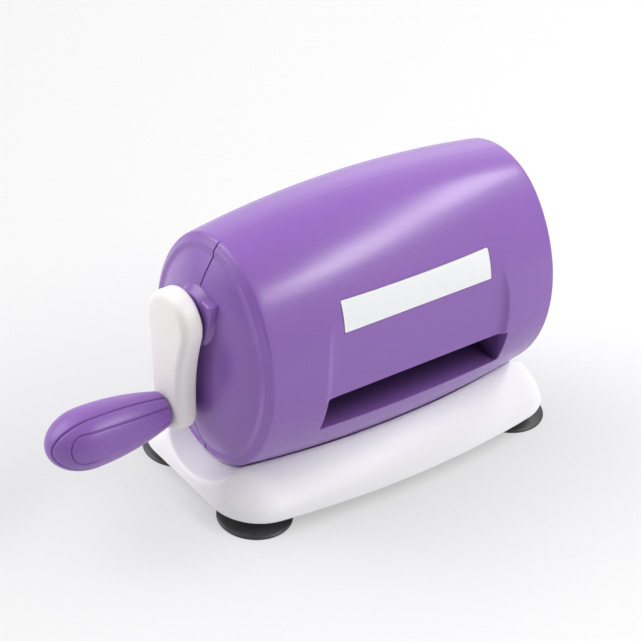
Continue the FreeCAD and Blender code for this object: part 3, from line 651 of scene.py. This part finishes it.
def base_top(x, y, level, gap):
    """Top of the base at (x, y): this level, or lower under the barrel and at the scooped ends."""
    gz, gy = growth(x)
    # Past the barrel's end the cradle steps in and then opens towards the base's own end
    flare = gap - 5.5 + 4.5 * (np.abs(x) - RIDGE + 1.5) / (BASE_X + 3.0 - RIDGE)
    end = glide(RIDGE - 3.5, RIDGE - 0.5, np.abs(x))
    gz = gz + gap + end * np.maximum(flare - gz - gap, 0)
    gy = gy + gap + end * np.maximum(flare - gy - gap, 0)
    return smin(level, ZC - oval_drop(y, gz, gy), 0.6 + 2.2 * end)


def base_ring(outline, z, gap):
    """The outline at height z, lowered where the base gives way to the barrel."""
    top = base_top(outline[:, 0], outline[:, 1], np.full(len(outline), z), gap)
    top = np.maximum(np.minimum(top, z), BASE_LOW)
    return np.stack([outline[:, 0], outline[:, 1], top], 1)


def base_body():
    """The base: a soft tray with a cradle for the barrel and scooped ends, hollow below."""
    loops = []
    for turn in np.radians(np.linspace(0, 90, 6)):
        z = BASE_LOW + BASE_EDGE * (1 - math.cos(turn))
        inset = BASE_EDGE * (1 - math.sin(turn))
        length, depth, radius, centre = base_sizes(z)
        loops.append((base_outline(length - inset, depth - inset, radius - inset, centre), z))
    for z in np.linspace(10.4, 29.3, 26):
        loops.append((base_outline(*base_sizes(z)), z))
    length, depth, radius, centre = base_sizes(BASE_HIGH)
    for inset in (0.0, 0.7, 1.5, 2.4, 3.5, 5, 7, 9, 11, 14, 18, 23, 28, 33, 37.6):
        k = depth - inset
        r = max(radius - inset, 0.3)
        c = min(centre, max(k - r - 0.5, 0.05) * 0.5) if inset > 14 else min(centre, k - r - 0.8)
        loops.append((base_outline(length - inset, k, r, c), BASE_HIGH - 0.3 * (inset < 0.5)))
    skin = Skin()
    ids = skin.rings([base_ring(outline, z, CRADLE_GAP) for outline, z in loops])
    under = []
    for z in np.linspace(BASE_LOW, 27.0, 9):
        length, depth, radius, centre = base_sizes(min(z + WALL, BASE_HIGH))
        under.append((base_outline(length - WALL, depth - WALL, radius - WALL, centre), z))
    for inset in (4, 9, 15, 22, 29, 34):
        k = depth - WALL - inset
        r = max(radius - WALL - inset, 0.3)
        c = max(k - r - 0.5, 0.05) * 0.5
        under.append((base_outline(length - WALL - inset, k, r, c), 27.4))
    inner = skin.rings([base_ring(outline, z, CRADLE_GAP + WALL) for outline, z in under])
    skin.strip(ids[0], inner[0])
    skin.cap(ids[-1])
    skin.cap(inner[-1])
    return skin


def turned(rows, x, y, count):
    """Skin turned about the upright line at (x, y) from (radius, z) rows."""
    turns = np.linspace(0, 2 * math.pi, count, endpoint=False)
    skin = Skin()
    skin.rings([np.stack([x + r * np.cos(turns), y + r * np.sin(turns), np.full(count, z)], 1)
                for r, z in rows])
    return skin


def base_bosses():
    """Under the base: sockets of the four feet and bosses of the four screws."""
    socket = [(4.0, 18.0), (4.0, 9.6), (4.3, 9.4), (9.2, 9.4), (9.5, 9.7), (9.5, 17.5)]
    boss = [(2.0, 15.0), (2.0, 12.0), (5.8, 12.0), (6.0, 12.2), (6.0, 15.2)]
    parts = []
    for sx, sy in CORNERS:
        parts.append((turned(socket, sx * FOOT_X, sy * FOOT_Y, 40), False))
        parts.append((turned(boss, sx * BOSS_X, sy * BOSS_Y, 32), False))
    return parts


def cups():
    """Four suction cups: a thin flared lip, a bell and a neck, and the hollow below."""
    outside = [(16.6, 0.9), (18.6, 0.3), (19.6, 0.0), (19.9, 0.15), (20.0, 0.45), (19.9, 0.9),
               (19.5, 1.3), (18.2, 1.75), (16.5, 2.3), (14.4, 3.2), (12.2, 4.4), (10.2, 5.8),
               (8.6, 7.2), (7.4, 8.5), (6.8, 9.2), (4.0, 9.4), (4.0, 17.9), (0.2, 17.9)]
    hollow = [(0.2, 4.4), (5.0, 4.2), (9.0, 3.4), (13.0, 2.0), (16.6, 0.9)]
    parts = []
    for sx, sy in CORNERS:
        parts.append((turned(outside, sx * FOOT_X, sy * FOOT_Y, 72), False))
        parts.append((turned(hollow, sx * FOOT_X, sy * FOOT_Y, 72), True))
    return parts


def sweep(centre, radius, start, end, count):
    """Points of an arc from one angle to another."""
    turns = np.linspace(start, end, count)
    return [(centre[0] + radius * math.cos(t), centre[1] + radius * math.sin(t)) for t in turns]


def arm_outline(x, inset):
    """The arm's outline at one depth, drawn in by this inset: two ends and two waist arcs."""
    hub, foot = np.array([HUB_Y, CRANK_Z]), np.array([0.0, GRIP_Z])
    span = np.linalg.norm(foot - hub)
    along = (foot - hub) / span
    rear = np.array([-along[1], along[0]])
    waists, turns = [], []
    for waist, way in ((REAR_WAIST, rear), (FRONT_WAIST, -rear)):
        drop = ((HUB_R + waist) ** 2 - (FOOT_R + waist) ** 2 + span ** 2) / (2 * span)
        centre = hub + along * drop + way * math.sqrt((HUB_R + waist) ** 2 - drop ** 2)
        at_hub, at_foot = [math.atan2(*(end - centre)[::-1]) % (2 * math.pi) for end in (hub, foot)]
        turns.append((at_hub + math.pi, at_foot + math.pi))
        at_foot = at_hub + (at_foot - at_hub + math.pi) % (2 * math.pi) - math.pi
        waists.append(sweep(centre, waist + inset, at_hub, at_foot, 26))
    (hub_rear, foot_rear), (hub_front, foot_front) = turns
    foot_front = foot_rear - (foot_rear - foot_front) % (2 * math.pi)
    hub_rear = hub_front - (hub_front - hub_rear) % (2 * math.pi)
    points = waists[0][:-1] + sweep(foot, FOOT_R - inset, foot_rear, foot_front, 34)[:-1]
    points += waists[1][::-1][:-1] + sweep(hub, HUB_R - inset, hub_front, hub_rear, 42)[:-1]
    return np.array([(x, y, z) for y, z in points])


def arm():
    """The crank arm: a thick blade with rounded edges."""
    loops = []
    for x, edge, way, turns in ((-ARM_X, INNER_EDGE, -1, np.linspace(0, 90, 6)),
                                (-ARM_OUT_X, OUTER_EDGE, 1, np.linspace(90, 0, 10))):
        for turn in np.radians(turns):
            loops.append(arm_outline(x + way * edge * (1 - math.cos(turn)),
                                     edge * (1 - math.sin(turn))))
    for further in (1.0, 2.4, 4.0):
        loops.append(arm_outline(-ARM_OUT_X - 0.08 * further, OUTER_EDGE + further))
    skin = Skin()
    ids = skin.rings(loops)
    skin.cap(ids[0])
    skin.cap(ids[-1])
    return skin


def grip_radius(s):
    """Radius of the grip along its length, with a soft edge at the arm's end."""
    swell = GRIP_END + (GRIP_BULB - GRIP_END) * (1 - (1 - np.clip(s / GRIP_SWELL, 0, 1)) ** 2)
    edge = np.clip(1.0 - s, 0, 1)
    return swell - 1.0 + np.sqrt(1.0 - edge ** 2)


def on_grip(points, sunk=0.0):
    """Brings (along, front, up) points to the grip's skin, or below it by this much."""
    s, n, w = np.moveaxis(np.asarray(points, float), -1, 0)
    across = np.maximum(np.hypot(n, w), 1e-9)
    ahead = np.maximum(s - TIP_X, 0) / TIP_LENGTH
    size = np.hypot(ahead, across / GRIP_BULB)
    tip = s > TIP_X
    lean = np.hypot(ahead / TIP_LENGTH, across / GRIP_BULB ** 2)
    s_tip = TIP_X + ahead / size * TIP_LENGTH - sunk * ahead / TIP_LENGTH / lean
    r_tip = across / size - sunk * across / GRIP_BULB ** 2 / lean
    s = np.where(tip, s_tip, s)
    r = np.where(tip, r_tip, grip_radius(s) - sunk)
    return np.stack([s, n / across * r, w / across * r], -1)


def hung(points):
    """Machine coordinates of (along, front, up) points of the grip as it hangs at rest."""
    s, n, w = np.moveaxis(points, -1, 0)
    c, t = math.cos(GRIP_TURN), math.sin(GRIP_TURN)
    return np.stack([-GRIP_X - s, w * t - n * c, GRIP_Z + w * c + n * t], -1)


def u_path(side_of, nose_x, nose_wide, nose_end):
    """Points (along, front, up) on the skin down one side, round a nose and back."""
    s = np.concatenate([[0, 0.3, 0.7], np.linspace(1.0, nose_x, 40)])
    t = np.linspace(0, math.pi / 2, NOSE_POINTS + 1)[1:]
    w = np.concatenate([side_of(s), nose_wide * np.cos(t)])
    s = np.concatenate([s, nose_x + (nose_end - nose_x) * np.sin(t)])
    s = np.concatenate([s, s[:-1][::-1]])
    w = np.concatenate([w, -w[:-1][::-1]])
    ahead = np.clip((s - TIP_X) / TIP_LENGTH, 0, 1)
    r = grip_radius(s) * np.sqrt(1 - ahead ** 2)
    return on_grip(np.stack([s, np.sqrt(np.maximum(r ** 2 - w ** 2, 0)), w], -1))


def beside(path, reach, sunk=0.0):
    """The path moved outwards on the skin by this reach."""
    tangent = np.gradient(path, axis=0)
    facing = path - on_grip(path, 1.0)
    across = np.cross(tangent, facing)
    # At the arm's end the path keeps its place along the grip
    across[:4, 0] = across[-4:, 0] = 0
    across /= np.linalg.norm(across, axis=1, keepdims=True)
    return on_grip(path + across * reach, sunk)


# Distance from the middle of a groove and depth below the skin
GROOVE = ((0.80, 0.0), (0.66, 0.04), (0.54, 0.16), (0.42, 0.36), (0.26, 0.60), (0.10, 0.74))


def tongue_width(s):
    """Half width of the grip's front panel along its length, to where its nose begins."""
    return TONGUE_START + 0.1377 * s - 0.001095 * s ** 2


def grip_half(side):
    """Moulded half of the grip; the front one is a long tongue with a groove round its panel."""
    # The parting line lies inside the grip's outline by these shares of its width and length
    wide, long = 0.83, 0.992
    parting = u_path(lambda s: wide * grip_radius(np.maximum(s, 1) / long), long * TIP_X,
                     wide * GRIP_BULB, long * (TIP_X + TIP_LENGTH))
    loops = []
    if side < 0:
        panel = u_path(tongue_width, TONGUE_NOSE, TONGUE_WIDE, TONGUE_END)
        inner = beside(panel, -GROOVE[0][0])
        core = inner * np.array([1, 0, 0]) + np.array([0, 9, 0])
        core[:, 0] = np.minimum(core[:, 0], TONGUE_NOSE)
        loops += [on_grip(core * (1 - t) + inner * t) for t in np.linspace(0, 1, 9)]
        loops += [beside(panel, -reach, sunk) for reach, sunk in GROOVE[1:]]
        loops += [beside(panel, reach, sunk) for reach, sunk in GROOVE[::-1]]
        start, end = loops[-1], beside(parting, -GROOVE[0][0])
        loops += [on_grip(start * (1 - t) + end * t) for t in np.linspace(0, 1, 9)[1:]]
        loops += [beside(parting, -reach, sunk) for reach, sunk in GROOVE[1:]]
        loops += [beside(parting, -0.05, 0.8), beside(parting, -0.05, 3.0)]
    else:
        loops += [beside(parting, 0.05, 3.0), beside(parting, 0.05, 0.8)]
        loops += [beside(parting, reach, sunk) for reach, sunk in GROOVE[::-1]]
        start = loops[-1]
        middle = len(start) // 2
        nose = 1 - np.abs(np.arange(len(start)) - middle) / NOSE_POINTS
        high = np.radians(62) * np.clip(nose, 0, 1)
        stretch = np.array([TIP_LENGTH, GRIP_BULB, GRIP_BULB])
        for t in np.linspace(0, 1, 25)[1:]:
            first = np.arctan2(start[:, 2], start[:, 1])
            turn = first + (np.where(start[:, 2] > 0, math.pi, -math.pi) - first) * t
            row = np.stack([start[:, 0], np.cos(turn), np.sin(turn)], -1)
            # Over the tip the rows run along great circles of the ball that it is stretched from
            ball = (start - np.array([TIP_X, 0, 0])) / stretch
            ball[:, 0] = np.maximum(ball[:, 0], 0)
            ball /= np.linalg.norm(ball, axis=1, keepdims=True)
            target = np.stack([np.sin(high), -np.cos(high), 0 * high], -1)
            angle = np.arccos(np.clip(np.sum(ball * target, axis=1), -0.9999, 0.9999))[:, None]
            arc = (np.sin((1 - t) * angle) * ball + np.sin(t * angle) * target) / np.sin(angle)
            arc = arc * stretch + np.array([TIP_X + 1e-6, 0, 0])
            loops.append(on_grip(np.where((nose > 0)[:, None], arc, row)))
    loops = np.array(loops)
    skin = Skin()
    ids = skin.add(hung(loops))
    for a, b in zip(ids[:-1], ids[1:]):
        skin.strip(a, b, closed=False)
    for column in (0, -1):
        rim = loops[:, column]
        inner = skin.add(hung(rim * np.array([1, 0.46, 0.46])))
        skin.strip(ids[:, column], inner, closed=False)
    return skin


# Materials

def node(tree, kind, x, y, **values):
    made = tree.nodes.new(kind)
    made.location = (x, y)
    for name, value in values.items():
        setattr(made, name, value)
    return made


def maths(tree, operation, x, y, *inputs):
    """Result of a math node whose inputs are set to numbers or linked to other results."""
    made = node(tree, "ShaderNodeMath", x, y, operation=operation)
    for socket, value in zip(made.inputs, inputs):
        if isinstance(value, (int, float)):
            socket.default_value = value
        else:
            tree.links.new(value, socket)
    return made.outputs[0]


def surface(name, colour, roughness, grain=0.35, grain_size=0.00045, tone=0.06, wear_and_highlight=0.06,
            metallic=0.0, brushed=False, inside=0.0):
    """Moulded or machined surface with fine grain, colour drift, handling marks, and light edges,
    partly wear and partly a painted highlight.

    grain is the bump's strength, tone the colour's drift, the edge setting how light the edges are
    as wear and as painted highlight, and inside how dark the slot's inside is, as painted shade.
    """
    material = bpy.data.materials.new(name)
    material.use_nodes = True
    tree = material.node_tree
    tree.nodes.clear()
    link = tree.links.new
    out = node(tree, "ShaderNodeOutputMaterial", 900, 0)
    shader = node(tree, "ShaderNodeBsdfPrincipled", 600, 0)
    link(shader.outputs["BSDF"], out.inputs["Surface"])
    shader.inputs["Metallic"].default_value = metallic
    where = node(tree, "ShaderNodeTexCoord", -1200, 0)
    drift = node(tree, "ShaderNodeTexNoise", -900, 200)
    drift.inputs["Scale"].default_value = 14.0
    drift.inputs["Detail"].default_value = 4.0
    link(where.outputs["Object"], drift.inputs["Vector"])
    flow = node(tree, "ShaderNodeMapping", -1000, -500)
    flow.inputs["Scale"].default_value = (60, 9, 9) if brushed else (6, 30, 30)
    link(where.outputs["Object"], flow.inputs["Vector"])
    marks = node(tree, "ShaderNodeTexNoise", -800, -500)
    marks.inputs["Scale"].default_value = 4.0
    marks.inputs["Detail"].default_value = 6.0
    marks.inputs["Roughness"].default_value = 0.62
    link(flow.outputs["Vector"], marks.inputs["Vector"])
    shade = node(tree, "ShaderNodeMix", -400, 200, data_type="RGBA")
    dark = [max(c * (1 - tone), 0) for c in colour]
    light = [min(c * (1 + tone) + 0.01 * tone, 1) for c in colour]
    shade.inputs["A"].default_value = (*dark, 1)
    shade.inputs["B"].default_value = (*light, 1)
    link(drift.outputs["Fac"], shade.inputs["Factor"])
    # Convex edges are lightened by pointiness: partly wear, and on the shell mostly a painted
    # highlight of its rounded edges
    about = node(tree, "ShaderNodeNewGeometry", -900, 500)
    edge = node(tree, "ShaderNodeMapRange", -650, 500)
    edge.inputs["From Min"].default_value = 0.53
    edge.inputs["From Max"].default_value = 0.62
    edge.inputs["To Max"].default_value = wear_and_highlight
    link(about.outputs["Pointiness"], edge.inputs["Value"])
    # Painted shade: inside the slot's mouth and sleeve the colour is darkened, more the deeper in,
    # where shade falls in the slot
    if inside:
        place = node(tree, "ShaderNodeSeparateXYZ", -900, 900)
        link(where.outputs["Object"], place.inputs[0])
        deep = maths(tree, "ABSOLUTE", -700, 1000, place.outputs["Y"])
        within = node(tree, "ShaderNodeMapRange", -500, 1000, interpolation_type="SMOOTHSTEP")
        within.inputs["From Min"].default_value = 0.056
        within.inputs["From Max"].default_value = 0.036
        within.inputs["To Max"].default_value = inside
        link(deep, within.inputs["Value"])
        level = maths(tree, "COMPARE", -500, 800, place.outputs["Z"],
                      (SLOT_LOW + SLOT_HIGH) / 2000, (SLOT_HIGH - SLOT_LOW) / 2000 + 0.0003)
        across = maths(tree, "COMPARE", -500, 600, place.outputs["X"],
                       SHIFT + SLOT_MIDDLE / 1000, SLOT_X / 1000 + 0.0003)
        mouth = maths(tree, "MULTIPLY", -300, 900, within.outputs["Result"], level)
        sleeve = maths(tree, "MULTIPLY", -100, 900, mouth, across)
    worn_and_highlit = node(tree, "ShaderNodeMix", -100, 250, data_type="RGBA")
    worn_and_highlit.inputs["B"].default_value = (*[min(0.5 * c + 0.42, 1) for c in colour], 1)
    link(edge.outputs["Result"], worn_and_highlit.inputs["Factor"])
    link(shade.outputs["Result"], worn_and_highlit.inputs["A"])
    # The slot's painted shade mixes the colour towards a fifth of itself there
    if inside:
        painted_slot_shade = node(tree, "ShaderNodeMix", 200, 500, data_type="RGBA")
        painted_slot_shade.inputs["B"].default_value = (*[0.2 * c for c in colour], 1)
        link(sleeve, painted_slot_shade.inputs["Factor"])
        link(worn_and_highlit.outputs["Result"], painted_slot_shade.inputs["A"])
        worn_and_highlit = painted_slot_shade
    link(worn_and_highlit.outputs["Result"], shader.inputs["Base Color"])
    rough = node(tree, "ShaderNodeMapRange", -400, -300)
    rough.inputs["To Min"].default_value = roughness * 0.86
    rough.inputs["To Max"].default_value = min(roughness * 1.16, 1)
    link(marks.outputs["Fac"], rough.inputs["Value"])
    link(rough.outputs["Result"], shader.inputs["Roughness"])
    fine = node(tree, "ShaderNodeTexNoise", -800, -800)
    fine.inputs["Scale"].default_value = 1 / grain_size
    fine.inputs["Detail"].default_value = 2.0
    link(flow.outputs["Vector"] if brushed else where.outputs["Object"], fine.inputs["Vector"])
    bump = node(tree, "ShaderNodeBump", 200, -500)
    bump.inputs["Strength"].default_value = grain
    bump.inputs["Distance"].default_value = 0.00006
    link(fine.outputs["Fac"], bump.inputs["Height"])
    link(bump.outputs["Normal"], shader.inputs["Normal"])
    return material


for name, colour, roughness, options in (
        # The shell's strong edge lightening is mostly a painted highlight of its rounded edges
        ("purple_shell", (0.258, 0.118, 0.437), 0.25,
         # inside darkens the slot's inside as painted shade
         dict(grain=0.5, grain_size=0.0008, tone=0.05, wear_and_highlight=0.22, inside=0.88)),
        ("purple_grip", (0.245, 0.108, 0.42), 0.36, dict(tone=0.05)),
        ("label_white", (0.88, 0.885, 0.90), 0.3, dict(grain=0.1, tone=0.02)),
        ("white_base", (0.86, 0.855, 0.875), 0.36, dict(grain=0.12, tone=0.02)),
        ("white_arm", (0.88, 0.845, 0.825), 0.42, dict(grain=0.2, tone=0.03)),
        ("black_rubber", (0.038, 0.038, 0.041), 0.42, dict(grain=0.3, tone=0.2, wear_and_highlight=0.03)),
        ("bushing_plastic", (0.62, 0.60, 0.52), 0.5, {})):
    looks[name] = surface(name, colour, roughness, **options)
for name, shade_of, roughness in (("frame_steel", 0.50, 0.36), ("bright_steel", 0.62, 0.24),
                                  ("roller_steel", 0.56, 0.28), ("gear_steel", 0.46, 0.38),
                                  ("washer_steel", 0.55, 0.32), ("screw_steel", 0.52, 0.34)):
    looks[name] = surface(name, (shade_of, shade_of, shade_of * 1.02), roughness, grain=0.3,
                          grain_size=0.0016, tone=0.1, wear_and_highlight=0.25, metallic=1.0, brushed=True)

slots = {part["node"]: part["material_slot"] for part in frame["record"]["subparts"]}
for name, obj in frame["nodes"].items():
    obj.data.materials.clear()
    obj.data.materials.append(looks[slots[name]])

# Pieces

stop = soft_block(-105.0, -98.0, -15.0, -6.8, 112.6, 125.0, 1.3)
piece("front_shell_skin", shell(-1) + [(collar(-1), False), (stop, False)], "housing",
      "purple_shell", ["front_shell"])
piece("rear_shell_skin", shell(1) + [(collar(1), False)], "housing", "purple_shell", ["rear_shell"])
piece("label_face", [(label(), False)], "housing", "label_white", ["label_plate"])
piece("base_tray", [(base_body(), False)] + base_bosses(), "housing", "white_base", ["base"])
piece("suction_cups", cups(), "housing", "black_rubber", ["suction_feet"])
piece("arm_moulding", [(arm(), False)], "crank", "white_arm", ["crank_arm"])
piece("grip_front", [(grip_half(-1), False)], "grip", "purple_grip", ["grip_front_half"])
piece("grip_rear", [(grip_half(1), False)], "grip", "purple_grip", ["grip_rear_half"])

# Floor, light and camera

# The photograph's camera, matched to it: focal length in pixels and distance in metres
PHOTO_PX, FOCAL_PX, DISTANCE = 641, 2407.32, 1.25215


def heading(azimuth, height):
    """Direction at this azimuth from the front, towards the right, and this height, in radians."""
    return Vector((math.sin(azimuth) * math.cos(height), -math.cos(azimuth) * math.cos(height),
                   math.sin(height)))


azimuth, tilt, roll = (math.radians(a) for a in (-38.56, 34.71, 4.18))
back = heading(azimuth, tilt)
right = Vector((math.cos(azimuth), math.sin(azimuth), 0))
up = back.cross(right)
right, up = (math.cos(roll) * right + math.sin(roll) * up,
             math.cos(roll) * up - math.sin(roll) * right)
aim = Vector((SHIFT - 0.02312, 0, 0.07947))
eye = bpy.data.cameras.new("camera")
eye.sensor_width = 36
eye.lens = FOCAL_PX / PHOTO_PX * eye.sensor_width
eye.clip_start = 0.05
camera = bpy.data.objects.new("camera", eye)
bpy.context.scene.collection.objects.link(camera)
turn = Matrix((right, up, back)).transposed().to_4x4()
camera.matrix_world = Matrix.Translation(aim + back * DISTANCE) @ turn
bpy.context.scene.camera = camera

floor_mesh = bpy.data.meshes.new("floor")
floor_mesh.from_pydata([(-6, -6, 0), (6, -6, 0), (6, 6, 0), (-6, 6, 0)], [], [(0, 1, 2, 3)])
floor = bpy.data.objects.new("floor", floor_mesh)
bpy.context.scene.collection.objects.link(floor)
sheet = bpy.data.materials.new("floor_pale")
sheet.use_nodes = True
tree = sheet.node_tree
shader = tree.nodes["Principled BSDF"]
shader.inputs["Base Color"].default_value = (0.74, 0.74, 0.745, 1)
shader.inputs["Roughness"].default_value = 0.9
shader.inputs["Specular IOR Level"].default_value = 0.1
# What is seen of the floor, directly or mirrored, is its lit colour and 45% plain pale paper
rays = node(tree, "ShaderNodeLightPath", -700, 300)
mirrored = maths(tree, "MAXIMUM", -500, 300, rays.outputs["Is Glossy Ray"],
                 rays.outputs["Is Transmission Ray"])
seen = maths(tree, "MAXIMUM", -300, 300, mirrored, rays.outputs["Is Camera Ray"])
share = maths(tree, "MULTIPLY", -100, 300, seen, 0.45)
paper = node(tree, "ShaderNodeEmission", 0, -400)
paper.inputs["Color"].default_value = (0.93, 0.93, 0.935, 1)
blend = node(tree, "ShaderNodeMixShader", 300, 300)
tree.links.new(share, blend.inputs["Fac"])
tree.links.new(shader.outputs[0], blend.inputs[1])
tree.links.new(paper.outputs[0], blend.inputs[2])
tree.links.new(blend.outputs[0], tree.nodes["Material Output"].inputs["Surface"])
floor_mesh.materials.append(sheet)

world = bpy.data.worlds.new("studio")
world.use_nodes = True
tree = world.node_tree
sky = node(tree, "ShaderNodeTexCoord", -1100, 0)
SPREAD = 10
# An even light, and soft glows of the room: azimuth from the front towards the right, height,
# strength
glows = 0.1
for number, (around_it, height, strength) in enumerate((
        (-140, 40, 4.5), (-135, 15, 1.0), (-135, 70, 0.6), (30, 15, 1.0), (140, 15, 1.5),
        (85, 40, 0.8))):
    towards = node(tree, "ShaderNodeVectorMath", -900, -180 * number, operation="DOT_PRODUCT")
    towards.inputs[1].default_value = heading(math.radians(around_it), math.radians(height))
    tree.links.new(sky.outputs["Generated"], towards.inputs[0])
    ahead = maths(tree, "MAXIMUM", -700, -180 * number, towards.outputs["Value"], 0.0)
    glow = maths(tree, "POWER", -500, -180 * number, ahead, SPREAD)
    glows = maths(tree, "MULTIPLY_ADD", -300, -180 * number, glow, strength, glows)
tree.links.new(glows, tree.nodes["Background"].inputs["Strength"])
tree.nodes["Background"].inputs["Color"].default_value = (1, 1, 1, 1)
bpy.context.scene.world = world


def softbox(name, start, end, width, power):
    """Long soft lamp between two points, in metres from the machine's middle, which it faces."""
    data = bpy.data.lights.new(name, "AREA")
    data.shape = "RECTANGLE"
    start, end = Vector(start), Vector(end)
    along = (end - start).normalized()
    data.size, data.size_y = (end - start).length, width
    data.energy = power
    obj = bpy.data.objects.new(name, data)
    bpy.context.scene.collection.objects.link(obj)
    outward = (start + end) / 2
    outward = (outward - along * outward.dot(along)).normalized()
    turn = Matrix((along, outward.cross(along), outward)).transposed().to_4x4()
    middle = Vector((SHIFT, 0, 0.1))
    obj.matrix_world = Matrix.Translation((start + end) / 2 + middle) @ turn


softbox("strip_left", (0.40, -1.22, 0.96), (0.79, -0.66, 1.23), 0.26, 8.8)
softbox("strip_right", (0.79, -0.66, 1.23), (1.17, 0.21, 1.07), 0.26, 8.2)

bpy.context.scene.view_settings.view_transform = "Standard"
